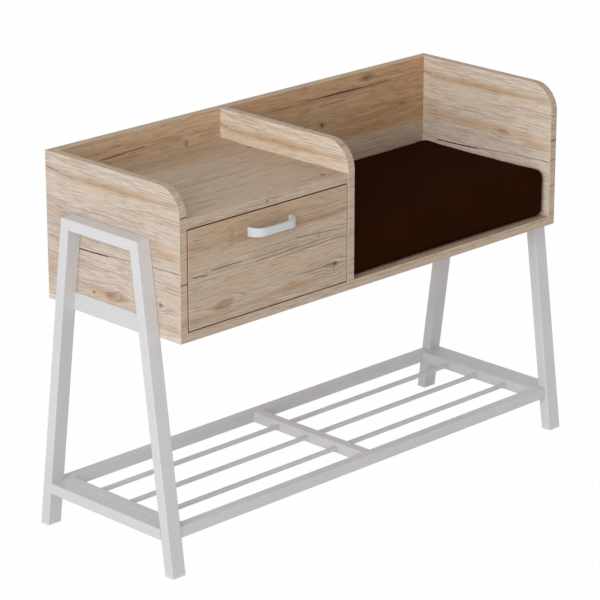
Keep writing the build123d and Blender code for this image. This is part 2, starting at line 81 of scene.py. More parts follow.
class Socket:
    """A node's output, with the operators that shader maths needs."""

    def __init__(self, shader: "Shader", socket: bpy.types.NodeSocket) -> None:
        """Wrap one output of a node.

        Args:
            shader: The node tree that the output is in.
            socket: The output itself.
        """
        self.shader = shader
        self.socket = socket

    def _math(self, operation: str, first: Number, second: Number = 0.0) -> "Socket":
        """Add one Math node.

        Args:
            operation: The Math node's operation.
            first: Its first value.
            second: Its second value.

        Returns:
            The node's result.
        """
        return self.shader.node("ShaderNodeMath", {"operation": operation}, {0: first, 1: second})[0]

    def __add__(self, other: Number) -> "Socket":
        """This value plus another."""
        return self._math("ADD", self, other)

    def __radd__(self, other: Number) -> "Socket":
        """Another value plus this one."""
        return self._math("ADD", other, self)

    def __sub__(self, other: Number) -> "Socket":
        """This value less another."""
        return self._math("SUBTRACT", self, other)

    def __rsub__(self, other: Number) -> "Socket":
        """Another value less this one."""
        return self._math("SUBTRACT", other, self)

    def __mul__(self, other: Number) -> "Socket":
        """This value times another."""
        return self._math("MULTIPLY", self, other)

    def __rmul__(self, other: Number) -> "Socket":
        """Another value times this one."""
        return self._math("MULTIPLY", other, self)

    def __abs__(self) -> "Socket":
        """This value without its sign."""
        return self._math("ABSOLUTE", self)

    def __gt__(self, limit: Number) -> "Socket":
        """One where this value is over a limit, and nought elsewhere."""
        return self._math("GREATER_THAN", self, limit)

    def __or__(self, other: Number) -> "Socket":
        """The larger of this mask and another."""
        return self._math("MAXIMUM", self, other)

    def __ror__(self, other: Number) -> "Socket":
        """The larger of another mask and this one."""
        return self._math("MAXIMUM", other, self)

    def fraction(self) -> "Socket":
        """What is left of this value over a whole number."""
        return self._math("FRACT", self)

    def ease(self, start: float, end: float) -> "Socket":
        """Run smoothly from nought to one between two values.

        Args:
            start: The value that gives nought.
            end: The value that gives one.

        Returns:
            The eased value.
        """
        limits = {"Value": self, "From Min": start, "From Max": end}
        return self.shader.node("ShaderNodeMapRange", {"interpolation_type": "SMOOTHSTEP"}, limits)[0]

    def within(self, low: float, high: float, edge: float) -> "Socket":
        """One between two values and nought outside them, with a soft edge."""
        return self.ease(low - edge, low + edge) * self.ease(high + edge, high - edge)


class Outputs:
    """The outputs of a node, found by number, name or identifier."""

    def __init__(self, shader: "Shader", node: bpy.types.Node) -> None:
        """Keep a node and the tree that it is in."""
        self.shader = shader
        self.node = node

    def __getitem__(self, key: Union[int, str]) -> Socket:
        """One output as a socket for shader maths."""
        return Socket(self.shader, find_socket(self.node.outputs, key))


def find_socket(sockets: bpy.types.bpy_prop_collection, key: Union[int, str]) -> bpy.types.NodeSocket:
    """Find a socket by its number, or by its identifier before its name.

    Args:
        sockets: A node's inputs or outputs.
        key: The socket's number, identifier or name.

    Returns:
        The socket.
    """
    if isinstance(key, int):
        return sockets[key]
    for socket in sockets:
        if socket.identifier == key:
            return socket
    return sockets[key]


class Shader:
    """The node tree of one material or of the world."""

    def __init__(self, tree: bpy.types.NodeTree) -> None:
        """Empty a node tree and start to fill it."""
        self.tree = tree
        self.tree.nodes.clear()

    def node(self, kind: str, settings: Optional[dict] = None, values: Optional[dict] = None) -> Outputs:
        """Add one node.

        Args:
            kind: The node's type.
            settings: Its own settings, such as an operation, set before its sockets.
            values: Numbers, colours or sockets for its inputs.

        Returns:
            The node's outputs.
        """
        made = self.tree.nodes.new(kind)
        for name, setting in (settings or {}).items():
            setattr(made, name, setting)
        for key, value in (values or {}).items():
            socket = find_socket(made.inputs, key)
            if isinstance(value, Socket):
                self.tree.links.new(value.socket, socket)
            else:
                socket.default_value = value
        return Outputs(self, made)

    def split(self, vector: Socket) -> tuple[Socket, Socket, Socket]:
        """The three parts of a vector."""
        parts = self.node("ShaderNodeSeparateXYZ", values={"Vector": vector})
        return parts["X"], parts["Y"], parts["Z"]

    def join(self, x: Number, y: Number, z: Number = 0.0) -> Socket:
        """A vector from its three parts."""
        return self.node("ShaderNodeCombineXYZ", values={"X": x, "Y": y, "Z": z})["Vector"]

    def stretch(self, vector: Socket, *factors: float) -> Socket:
        """A vector with each part times its own factor."""
        values = {0: vector, 1: factors}
        return self.node("ShaderNodeVectorMath", {"operation": "MULTIPLY"}, values)["Vector"]

    def noise(
        self, vector: Socket, scale: float = 1.0, detail: float = 2.0, rough: float = 0.5
    ) -> Socket:
        """Cloudy noise from about nought to one.

        Args:
            vector: Where the noise is read.
            scale: Clouds per metre.
            detail: Octaves of finer noise.
            rough: Strength of the finer noise.

        Returns:
            The noise.
        """
        values = {"Vector": vector, "Scale": scale, "Detail": detail, "Roughness": rough}
        return self.node("ShaderNodeTexNoise", values=values)[0]

    def cells(self, vector: Socket, scale: float) -> Socket:
        """Distance to the nearest of many scattered points, as in pebbled grain."""
        values = {"Vector": vector, "Scale": scale}
        return self.node("ShaderNodeTexVoronoi", {"feature": "SMOOTH_F1"}, values)["Distance"]

    def blend(self, share: Number, first: object, second: object, way: str = "MIX") -> Socket:
        """Mix two colours.

        Args:
            share: How much of the second colour shows.
            first: The first colour or socket.
            second: The second colour or socket.
            way: The blend type.

        Returns:
            The mixed colour.
        """
        settings = {"data_type": "RGBA", "blend_type": way}
        values = {"Factor_Float": share, "A_Color": first, "B_Color": second}
        return self.node("ShaderNodeMix", settings, values)["Result_Color"]

    def bump(self, height: Socket, depth: float, strength: float = 1.0) -> Socket:
        """A normal that follows a height.

        Args:
            height: The height, from nought to one.
            depth: What a height of one stands for, in metres.
            strength: How much of it shows.

        Returns:
            The normal.
        """
        values = {"Height": height, "Distance": depth, "Strength": strength}
        return self.node("ShaderNodeBump", values=values)["Normal"]

    def surface(self, values: dict) -> None:
        """Close the tree with one shader that has these values."""
        shader = self.node("ShaderNodeBsdfPrincipled", values=values)["BSDF"]
        self.node("ShaderNodeOutputMaterial", values={"Surface": shader})


def new_shader(name: str) -> tuple[bpy.types.Material, Shader]:
    """Make an empty material.

    Args:
        name: The material's name.

    Returns:
        The material and the shader that fills it.
    """
    material = bpy.data.materials.new(name)
    material.use_nodes = True
    return material, Shader(material.node_tree)


class Sheet(Enum):
    """The way a board's face looks, with the place of its decor on the printed sheet in metres."""

    END = 0.0
    FRONT = 10.0
    TOP = 20.0


class Tint(Enum):
    """Colours of the marks in the decor, in the order they are printed."""

    TAN = srgb(235, 212, 178)
    LINE = srgb(136, 106, 78)
    BROWN = srgb(138, 99, 66)
    BLACK = srgb(60, 35, 18)

    @property
    def way(self) -> str:
        """How the colour is laid on: tan stains the wood and the others cover it."""
        return "MULTIPLY" if self is Tint.TAN else "MIX"


class Shape(Enum):
    """The outline of a mark in the decor."""

    OVAL = "oval"
    STRIPE = "stripe"


@dataclass(frozen=True)
class Mark:
    """A stain, knot, crack or zone of growth lines of the decor on one sheet.

    Attributes:
        sheet: The faces that show it.
        along: Its middle along the grain, in metres.
        across: Its middle across the grain, in metres.
        length: Half its length, in metres.
        height: Half its height, in metres.
        tint: Its colour.
        strength: How much of that colour shows.
        lean: Its turn against the grain, in radians.
        flow: How many times its own size the grain bends round it, or nought.
        rings: Growth rings round it within that reach, or nought.
        soft: The share of it over which it fades out.
        shape: Its outline.
    """

    sheet: Sheet
    along: float
    across: float
    length: float
    height: float
    tint: Tint
    strength: float
    lean: float = 0.0
    flow: float = 0.0
    rings: float = 0.0
    soft: float = 0.85
    shape: Shape = Shape.OVAL


CRACK_SPREAD = 1.25
CRACK_SOFT = 0.8


def crack(sheet: Sheet, start: Place, end: Place, width: float, strength: float) -> Mark:
    """A thin dark crack between two points of the decor.

    Args:
        sheet: The faces that show it.
        start: Its first end, along and across the grain, in metres.
        end: Its other end.
        width: Half the width of its dark core, in metres.
        strength: How dark it is.

    Returns:
        The crack as a mark.
    """
    run, rise = end[0] - start[0], end[1] - start[1]
    return Mark(
        sheet,
        along=(start[0] + end[0]) / 2,
        across=(start[1] + end[1]) / 2,
        length=math.hypot(run, rise) / 2,
        height=CRACK_SPREAD * width,
        tint=Tint.BLACK,
        strength=strength,
        lean=math.atan2(rise, run),
        soft=CRACK_SOFT,
        shape=Shape.STRIPE,
    )


@dataclass(frozen=True)
class Plank:
    """A plank of the decor in a tone of its own.

    Attributes:
        sheet: The faces that show it.
        low: Its corner with the least values, along and across the grain, in metres.
        high: Its opposite corner.
        tone: What its colours are multiplied by.
        edge: Half the width of its soft edge, in metres.
    """

    sheet: Sheet
    low: Place
    high: Place
    tone: Colour
    edge: float = 1.5 * MM

    def cover(self, along: Socket, across: Socket) -> Socket:
        """One on the plank and nought beside it.

        Args:
            along: The place along the grain.
            across: The place across the grain.

        Returns:
            The plank's mask.
        """
        lift = self.sheet.value
        length = along.within(self.low[0], self.high[0], self.edge)
        return length * across.within(self.low[1] + lift, self.high[1] + lift, self.edge)


# Marks of the print, listed for each sheet. Ends run along Y, and fronts and tops along X.
END_MARKS = (
    crack(Sheet.END, (0.0148, 0.5232), (0.1290, 0.5196), 0.0017, 1.0),
    crack(Sheet.END, (-0.0700, 0.5300), (0.0300, 0.5232), 0.0011, 0.55),
    crack(Sheet.END, (-0.1593, 0.5335), (-0.0600, 0.5296), 0.0010, 0.65),
    crack(Sheet.END, (0.1392, 0.6457), (0.1788, 0.6492), 0.0011, 0.7),
    crack(Sheet.END, (0.1037, 0.6415), (0.1412, 0.6425), 0.0009, 0.4),
    Mark(Sheet.END, -0.1512, 0.5270, 0.0024, 0.0022, Tint.BLACK, 0.75),
    Mark(Sheet.END, -0.1547, 0.6215, 0.0020, 0.0024, Tint.BLACK, 0.6),
    Mark(Sheet.END, -0.1144, 0.6108, 0.0024, 0.0016, Tint.BLACK, 0.5),
    Mark(Sheet.END, 0.0580, 0.4520, 0.0070, 0.0050, Tint.BROWN, 0.75, flow=3.0),
    Mark(Sheet.END, 0.0170, 0.4560, 0.0150, 0.0065, Tint.BROWN, 0.6, flow=2.5),
    Mark(Sheet.END, -0.0030, 0.4590, 0.0060, 0.0050, Tint.BROWN, 0.45, flow=7.0, rings=5.0),
    Mark(Sheet.END, 0.0224, 0.4550, 0.0750, 0.0160, Tint.TAN, 0.75),
    Mark(Sheet.END, -0.1095, 0.4695, 0.0070, 0.0080, Tint.BROWN, 0.85, flow=3.2),
    Mark(Sheet.END, -0.1111, 0.4700, 0.0028, 0.0022, Tint.BLACK, 0.7),
    Mark(Sheet.END, -0.1065, 0.4655, 0.0020, 0.0026, Tint.BLACK, 0.6),
    Mark(Sheet.END, 0.0100, 0.6450, 0.2300, 0.0130, Tint.TAN, 0.85),
    Mark(Sheet.END, -0.0400, 0.6120, 0.2000, 0.0060, Tint.TAN, 0.35),
    Mark(Sheet.END, -0.0207, 0.6420, 0.0230, 0.0060, Tint.BROWN, 0.30),
    Mark(Sheet.END, -0.0232, 0.6295, 0.0160, 0.0036, Tint.BROWN, 0.35),
    Mark(Sheet.END, -0.0385, 0.5670, 0.0300, 0.0130, Tint.BROWN, 0.35, flow=2.0),
    Mark(Sheet.END, 0.0326, 0.5700, 0.2300, 0.0150, Tint.TAN, 0.75),
    Mark(Sheet.END, -0.1248, 0.5590, 0.0550, 0.0100, Tint.TAN, 0.9),
    Mark(Sheet.END, 0.1696, 0.4710, 0.0220, 0.0300, Tint.TAN, 0.5),
    Mark(Sheet.END, -0.1300, 0.4850, 0.0700, 0.0550, Tint.LINE, 0.6),
    Mark(Sheet.END, 0.0600, 0.4950, 0.0900, 0.0300, Tint.LINE, 0.35),
    Mark(Sheet.END, -0.1000, 0.6650, 0.1500, 0.0150, Tint.LINE, 0.35),
)

FRONT_MARKS = (
    # The drawer's front.
    crack(Sheet.FRONT, (-0.4450, 0.5215), (-0.4065, 0.5177), 0.0012, 0.85),
    crack(Sheet.FRONT, (-0.4040, 0.5250), (-0.3265, 0.5245), 0.0011, 0.75),
    crack(Sheet.FRONT, (-0.3400, 0.5366), (-0.2000, 0.5358), 0.0008, 0.5),
    crack(Sheet.FRONT, (-0.2060, 0.5360), (-0.1760, 0.5350), 0.0010, 0.8),
    crack(Sheet.FRONT, (-0.2000, 0.5356), (-0.0600, 0.5284), 0.0009, 0.6),
    Mark(Sheet.FRONT, -0.1500, 0.5275, 0.0024, 0.0030, Tint.BLACK, 0.75),
    Mark(Sheet.FRONT, -0.1100, 0.4695, 0.0100, 0.0075, Tint.BROWN, 0.8, flow=3.6),
    Mark(Sheet.FRONT, -0.1120, 0.4700, 0.0042, 0.0030, Tint.BLACK, 0.75),
    crack(Sheet.FRONT, (-0.1150, 0.4580), (-0.1080, 0.4730), 0.0016, 0.45),
    Mark(Sheet.FRONT, -0.3540, 0.5760, 0.0090, 0.0180, Tint.BROWN, 0.35, flow=1.8),
    Mark(Sheet.FRONT, -0.3740, 0.4600, 0.0330, 0.0105, Tint.BROWN, 0.30, lean=0.10, flow=1.8, soft=0.4),
    Mark(Sheet.FRONT, -0.3720, 0.4590, 0.0260, 0.0075, Tint.TAN, 0.9, lean=0.10, soft=0.5),
    Mark(Sheet.FRONT, -0.1300, 0.5600, 0.0750, 0.0080, Tint.BROWN, 0.30, lean=-0.03),
    Mark(Sheet.FRONT, -0.2700, 0.5810, 0.2600, 0.0320, Tint.TAN, 0.40),
    Mark(Sheet.FRONT, -0.2000, 0.5600, 0.1400, 0.0090, Tint.TAN, 0.55),
    Mark(Sheet.FRONT, -0.2140, 0.4530, 0.0900, 0.0085, Tint.TAN, 0.75),
    Mark(Sheet.FRONT, -0.4000, 0.4470, 0.0600, 0.0050, Tint.TAN, 0.6),
    # The back board, in the tray and in the seat bay.
    crack(Sheet.FRONT, (-0.3660, 0.6386), (-0.2540, 0.6428), 0.0013, 0.8),
    crack(Sheet.FRONT, (0.1340, 0.6480), (0.2450, 0.6475), 0.0011, 0.7),
    crack(Sheet.FRONT, (0.2350, 0.6475), (0.3660, 0.6465), 0.0011, 0.7),
    Mark(Sheet.FRONT, 0.2300, 0.6478, 0.0800, 0.0020, Tint.BLACK, 0.9, soft=0.6),
    Mark(Sheet.FRONT, 0.2200, 0.6465, 0.1700, 0.0035, Tint.BROWN, 0.55),
    Mark(Sheet.FRONT, 0.0800, 0.6450, 0.0700, 0.0045, Tint.BROWN, 0.55),
    Mark(Sheet.FRONT, 0.1900, 0.6440, 0.1900, 0.0090, Tint.BROWN, 0.30),
    crack(Sheet.FRONT, (0.1695, 0.6316), (0.2460, 0.6320), 0.0011, 0.55),
    Mark(Sheet.FRONT, 0.0900, 0.6100, 0.1100, 0.0130, Tint.BROWN, 0.22),
    Mark(Sheet.FRONT, 0.3300, 0.5870, 0.1500, 0.0100, Tint.TAN, 0.6),
    Mark(Sheet.FRONT, 0.3000, 0.5640, 0.2000, 0.0070, Tint.TAN, 0.7),
    Mark(Sheet.FRONT, 0.1800, 0.5945, 0.0130, 0.0095, Tint.BROWN, 0.9, flow=3.0),
    Mark(Sheet.FRONT, 0.1800, 0.5945, 0.0055, 0.0045, Tint.BLACK, 0.8),
    Mark(Sheet.FRONT, -0.1600, 0.6290, 0.0070, 0.0100, Tint.BROWN, 0.7, flow=2.5),
    Mark(Sheet.FRONT, 0.3020, 0.6640, 0.0300, 0.0110, Tint.BROWN, 0.8, flow=2.0),
    Mark(Sheet.FRONT, 0.2960, 0.6620, 0.0090, 0.0060, Tint.BLACK, 0.35),
    Mark(Sheet.FRONT, 0.3930, 0.5950, 0.0200, 0.0065, Tint.BROWN, 0.8, flow=1.8),
    Mark(Sheet.FRONT, -0.2710, 0.6160, 0.0060, 0.0050, Tint.BROWN, 0.85, flow=2.5),
    Mark(Sheet.FRONT, -0.3000, 0.6460, 0.2000, 0.0250, Tint.TAN, 0.35),
    Mark(Sheet.FRONT, -0.3300, 0.6300, 0.0900, 0.0050, Tint.BROWN, 0.30),
    # Zones of growth lines.
    Mark(Sheet.FRONT, -0.2200, 0.5050, 0.2400, 0.0420, Tint.LINE, 0.95, lean=0.04),
    Mark(Sheet.FRONT, -0.1300, 0.4800, 0.1100, 0.0420, Tint.LINE, 1.0),
    Mark(Sheet.FRONT, 0.2000, 0.5400, 0.4000, 0.0150, Tint.LINE, 0.5),
)

EDGE_MARKS = (
    crack(Sheet.FRONT, (-0.4740, 0.6275), (-0.4520, 0.6290), 0.0013, 0.85),
    crack(Sheet.FRONT, (-0.4740, 0.5125), (-0.4520, 0.5140), 0.0013, 0.8),
    crack(Sheet.FRONT, (0.4540, 0.5730), (0.4720, 0.5750), 0.0015, 0.8),
    crack(Sheet.FRONT, (0.4540, 0.5360), (0.4720, 0.5375), 0.0012, 0.7),
)

TOP_MARKS = (
    Mark(Sheet.TOP, -0.1127, -0.1308, 0.0080, 0.0085, Tint.BROWN, 0.9, flow=3.0),
    Mark(Sheet.TOP, -0.1127, -0.1319, 0.0030, 0.0030, Tint.BLACK, 0.6),
    Mark(Sheet.TOP, -0.0850, 0.0798, 0.0090, 0.0080, Tint.BROWN, 0.8, flow=2.5),
    Mark(Sheet.TOP, -0.3400, -0.0425, 0.0500, 0.0140, Tint.BROWN, 0.18, flow=1.8, rings=2.0),
    Mark(Sheet.TOP, -0.3790, -0.1258, 0.0330, 0.0085, Tint.BROWN, 0.35),
    Mark(Sheet.TOP, -0.2600, 0.0915, 0.0800, 0.0035, Tint.BROWN, 0.35),
    Mark(Sheet.TOP, -0.2840, 0.1108, 0.0120, 0.0060, Tint.BROWN, 0.35),
    Mark(Sheet.TOP, -0.2400, 0.1037, 0.2400, 0.0450, Tint.TAN, 0.5),
    Mark(Sheet.TOP, -0.2600, -0.0200, 0.2500, 0.0700, Tint.LINE, 0.5),
)

PLANKS = (
    Plank(Sheet.FRONT, (-0.0700, 0.5545), (0.4600, 0.7000), (1.03, 0.83, 0.64, 1.0)),
    Plank(Sheet.FRONT, (-0.4600, 0.6230), (-0.0700, 0.7000), (1.14, 1.05, 0.95, 1.0)),
    Plank(Sheet.FRONT, (-0.4530, 0.5520), (-0.0790, 0.6060), (0.95, 0.90, 0.85, 1.0)),
)


@dataclass(frozen=True)
class Grain:
    """Noise that is drawn out along the grain.

    Attributes:
        along: Clouds per metre along the grain.
        across: Clouds per metre across the grain.
        detail: Octaves of finer noise.
        rough: Strength of the finer noise.
    """

    along: float
    across: float
    detail: float = 2.0
    rough: float = 0.5

    def read(self, shader: Shader, point: Socket) -> Socket:
        """The noise at a place on the sheet."""
        place = shader.stretch(point, self.along, self.across, 1.0)
        return shader.noise(place, detail=self.detail, rough=self.rough)


@dataclass(frozen=True)
class Finish(ABC):
    """What covers a piece.

    Attributes:
        name: The material's name.
    """

    name: str

    def material(self) -> bpy.types.Material:
        """Make the material and fill it.

        Returns:
            The material.
        """
        material, shader = new_shader(self.name)
        self.fill(shader, shader.node("ShaderNodeTexCoord"))
        return material

    @abstractmethod
    def fill(self, shader: Shader, place: Outputs) -> None:
        """Add the finish's nodes.

        Args:
            shader: The material's node tree.
            place: The coordinates that the nodes read.
        """


@dataclass(frozen=True)
class OakDecor(Finish):
    """Pale rustic oak printed on laminated board.

    Attributes:
        rounded: Whether the board has a rounded corner in its long side.
        marks: The marks of the print that the board shows.
        end_light_and_shade: What the end sheet's colours are multiplied by: painted light and shade,
            which brightens the inner boards' end faces and darkens the outer board's.
        face_tone_and_shade: What the front sheet's colours are multiplied by: partly the print's own tone
            and partly painted shade that makes front faces darker than end faces.
        top_tone_and_shade: What the top sheet's colours are multiplied by: partly the print's own tone
            and partly painted shade that makes top faces darker than end faces.
        rim: What the narrow faces of a front are multiplied by, a painted shade that darkens them to
            brown so the gaps round the drawer read as shaded lines.
        deep: The ground between the streaks.
        light: The bleached streaks.
        tan: The warm bands.
        line: The fine fibres.
        edge_highlight: A paler colour painted on the broken edges as a highlight.
        ring: Width of a growth ring, in metres.
        planks: The planks of the print.
        sway: Noise that bends the grain over a whole board.
        waver: Noise that bends it over a hand's width.
        fuzz: Noise that frays the marks.
        bands: Noise of the broad bands.
        streaks: Noise of the streaks in the bands.
        fibres: Noise of the fibres in the streaks.
        flat: How squarely a face looks along an axis to count as flat.
    """

    rounded: bool
    marks: tuple[Mark, ...]
    end_light_and_shade: Colour = (1.0, 1.0, 1.0, 1.0)
    face_tone_and_shade: Colour = srgb(227, 220, 212)
    top_tone_and_shade: Colour = srgb(218, 208, 196)
    rim: Optional[Colour] = None
    deep: Colour = srgb(206, 187, 166)
    light: Colour = srgb(242, 231, 219)
    tan: Colour = srgb(208, 180, 143)
    line: Colour = srgb(166, 134, 104)
    edge_highlight: Colour = srgb(226, 203, 176)
    ring: float = 6.0 * MM
    planks: tuple[Plank, ...] = PLANKS
    sway: Grain = Grain(1.6, 7.0)
    waver: Grain = Grain(9.0, 45.0)
    fuzz: Grain = Grain(60.0, 420.0, detail=3.0)
    bands: Grain = Grain(1.8, 55.0, detail=3.0)
    streaks: Grain = Grain(17.0, 230.0, detail=5.0, rough=0.68)
    fibres: Grain = Grain(26.0, 480.0, detail=3.0, rough=0.6)
    flat: float = 0.75

    def fill(self, shader: Shader, place: Outputs) -> None:
        """Add a box-mapped sheet of wood, then its planks and marks, the sheets' tones with their painted
        light and shade, the painted highlight on the edges and the painted shade on a front's narrow
        faces.

        Args:
            shader: The material's node tree.
            place: The coordinates that the nodes read.
        """
        # Each face reads its own sheet: ends along Y, fronts and tops along X.
        x, y, z = shader.split(place["Object"])
        normal = shader.split(place["Normal"])
        facing = [abs(part) for part in normal]
        end = facing[0] > self.flat
        top = facing[2] > self.flat
        along = x + end * (y - x)
        across = z + (1 - end) * Sheet.FRONT.value
        across = across + top * (y - z + Sheet.TOP.value - Sheet.FRONT.value)
        point = shader.join(along, across)

        # The grain bends round the knots and wavers between them.
        sway = self.sway.read(shader, point) - 0.5
        waver = self.waver.read(shader, point) - 0.5
        fuzz = self.fuzz.read(shader, point) - 0.5
        printed = shader.join(along, across + waver * (3.0 * MM) + fuzz * (1.6 * MM))
        bent = self.bend(shader, point, across) + sway * (18.0 * MM) + waver * (4.0 * MM)
        grain = shader.join(along, bent)

        # The wood itself: bleached streaks on a deeper ground, warm bands and fine fibres.
        bands = self.bands.read(shader, grain)
        streaks = self.streaks.read(shader, grain)
        fibres = self.fibres.read(shader, grain)
        bleached = streaks * 0.62 + bands * 0.38
        colour = shader.blend(bleached.ease(0.38, 0.62), self.deep, self.light)
        warm = bands * 0.65 + streaks * 0.35
        colour = shader.blend(warm.ease(0.47, 0.64) * 0.6, colour, self.tan)
        colour = shader.blend(fibres.ease(0.50, 0.70) * 0.65, colour, self.line)
        for plank in self.planks:
            cover = plank.cover(along, across + waver * (3.0 * MM)) * (0.0 - normal[1] > 0.5)
            colour = shader.blend(cover, colour, plank.tone, "MULTIPLY")

        # The marks, broken up by the streaks. Black comes last and also dulls the gloss.
        broken = streaks.ease(0.36, 0.66)
        count = bent * (1 / self.ring) + sway * 3.0 + (streaks + bands) * 0.7
        lines, eyes = self.growth(shader, point, count)
        cover: Number = 0.0
        for tint in Tint:
            cover = self.printing(shader, printed, tint)
            if tint is Tint.LINE:
                cover = (cover | eyes | 0.20) * lines * bands.ease(0.62, 0.40)
            elif tint is not Tint.BLACK:
                cover = cover * (0.35 + broken)
            colour = shader.blend(cover, colour, tint.value, tint.way)

        # Each sheet's tone, partly painted light and shade: whole boards' end faces brighter or darker,
        # and fronts and tops darker than ends. Then a painted highlight on the broken edges, and painted
        # shade on a front's narrow faces that darkens the gaps round the drawer to brown.
        tone = shader.blend(end, self.face_tone_and_shade, self.end_light_and_shade)
        tone = shader.blend(top, tone, self.top_tone_and_shade)
        # Multiply by the sheet's tone, which holds the painted light and shade of each way a face looks.
        colour = shader.blend(1.0, colour, tone, "MULTIPLY")
        # Painted highlight: the broken edges are mixed toward a paler colour.
        colour = shader.blend(self.edges(facing) * 0.6, colour, self.edge_highlight)
        # Painted shade: the narrow faces of a front, which show in the gaps round the drawer, are
        # darkened to brown.
        if self.rim:
            colour = shader.blend(1 - (facing[1] > 0.5), colour, self.rim, "MULTIPLY")
        pores = shader.noise(shader.stretch(place["Object"], 60.0, 60.0, 900.0), detail=3.0)
        shader.surface(
            {
                "Base Color": colour,
                "Roughness": 0.50 + fibres * 0.08 + cover * 0.25,
                "Specular IOR Level": 0.35,
                "Normal": shader.bump(pores, 0.2 * MM, 0.5),
            }
        )

    def printing(self, shader: Shader, printed: Socket, tint: Tint) -> Socket:
        """Where the marks of one colour are printed.

        Args:
            shader: The material's node tree.
            printed: The place on the sheet.
            tint: The colour.

        Returns:
            The strongest of its marks at each place.
        """
        cover: Number = 0.0
        for mark in self.marks:
            if mark.tint is tint:
                cover = self.spot(shader, printed, mark) * mark.strength | cover
        return cover

    def bend(self, shader: Shader, point: Socket, across: Socket) -> Socket:
        """The place across the grain, pushed apart round the knots.

        Args:
            shader: The material's node tree.
            point: The place on the sheet.
            across: Its part across the grain.

        Returns:
            The bent place.
        """
        bent = across
        for mark in self.marks:
            if mark.flow:
                pull = self.spot(shader, point, mark, mark.flow) * 0.65
                bent = bent - (across - mark.across - mark.sheet.value) * pull
        return bent

    def growth(self, shader: Shader, point: Socket, phase: Socket) -> tuple[Socket, Number]:
        """Growth lines, each with a sharp and a soft side, that close to rings round the eyes.

        Args:
            shader: The material's node tree.
            point: The place on the sheet.
            phase: The count of lines across the grain.

        Returns:
            The lines, and how strongly the eyes ask for them.
        """
        eyes: Number = 0.0
        for mark in self.marks:
            if mark.rings:
                inside = self.spot(shader, point, mark, mark.flow)
                phase = phase + inside.ease(0.0, 0.25) * (inside * mark.rings - phase)
                eyes = inside.ease(0.0, 0.3) * 0.35 | eyes
        return phase.fraction().ease(0.3, 1.0), eyes

    def spot(self, shader: Shader, point: Socket, mark: Mark, scale: float = 1.0) -> Socket:
        """The soft outline of one mark.

        Args:
            shader: The material's node tree.
            point: Where on the sheet it is read.
            mark: The mark.
            scale: How many times the mark's own size the outline is.

        Returns:
            One in the middle of the mark and nought outside it.
        """
        middle = (mark.along, mark.across + mark.sheet.value, 0.0)
        offset = {"operation": "SUBTRACT"}
        local = shader.node("ShaderNodeVectorMath", offset, {0: point, 1: middle})["Vector"]
        if mark.lean:
            turned = {"rotation_type": "Z_AXIS", "invert": True}
            values = {"Vector": local, "Angle": mark.lean}
            local = shader.node("ShaderNodeVectorRotate", turned, values)["Vector"]
        local = shader.stretch(local, 1 / (mark.length * scale), 1 / (mark.height * scale), 0.0)
        if mark.shape is Shape.STRIPE:
            u, v, _ = shader.split(local)
            reach = abs(u) * 4.0 - 3.0 | abs(v)
        else:
            reach = shader.node("ShaderNodeVectorMath", {"operation": "LENGTH"}, {0: local})["Value"]
        return reach.ease(1.0, 1.0 - mark.soft)

    def edges(self, facing: Sequence[Socket]) -> Socket:
        """One on the broken edges of a board, where the painted highlight goes, and nought on its faces
        and its rounded corner.

        Args:
            facing: How squarely the surface looks along each axis.

        Returns:
            The edges' mask.
        """
        if self.rounded:
            return (facing[0] > 0.2) - (facing[0] > 0.9)
        return 1 - ((facing[0] | facing[1] | facing[2]) > 0.9)


@dataclass(frozen=True)
class Paint(Finish):
    """White coat on steel, with a faint orange peel.

    Attributes:
        colour: The coat's colour.
        dull: A slightly greyer colour of the coat.
        roughness: How matt the coat is.
        peel: Depth of the orange peel, in metres.
    """

    colour: Colour
    dull: Colour
    roughness: float
    peel: float = 0.03 * MM

    def fill(self, shader: Shader, place: Outputs) -> None:
        """Add soft clouds of tone, orange peel and fine dust in the gloss.

        Args:
            shader: The material's node tree.
            place: The coordinates that the nodes read.
        """
        clouds = shader.noise(place["Object"], 7.0, 3.0)
        peel = shader.noise(place["Object"], 620.0, 2.0)
        dust = shader.noise(place["Object"], 2600.0, 2.0)
        greyed = clouds.ease(0.35, 0.7) * 0.6 + dust.ease(0.62, 0.8) * 0.2
        shader.surface(
            {
                "Base Color": shader.blend(greyed, self.colour, self.dull),
                "Roughness": self.roughness + clouds * 0.06 + dust * 0.05,
                "Specular IOR Level": 0.4,
                "Normal": shader.bump(peel, self.peel, 0.4),
            }
        )


@dataclass(frozen=True)
class Plating(Finish):
    """Zinc on steel screws and rivets.

    Attributes:
        bright: The clean plating.
        dull: The cloudy plating.
    """

    bright: Colour = srgb(206, 208, 210)
    dull: Colour = srgb(160, 163, 166)

    def fill(self, shader: Shader, place: Outputs) -> None:
        """Add cloudy patches, fine turning marks and a varying gloss.

        Args:
            shader: The material's node tree.
            place: The coordinates that the nodes read.
        """
        clouds = shader.noise(place["Object"], 260.0, 3.0)
        marks = shader.noise(place["Object"], 3200.0, 2.0)
        shader.surface(
            {
                "Base Color": shader.blend(clouds.ease(0.4, 0.7), self.bright, self.dull),
                "Metallic": 1.0,
                "Roughness": 0.28 + clouds * 0.15 + marks * 0.06,
                "Normal": shader.bump(marks, 0.02 * MM, 0.5),
            }
        )


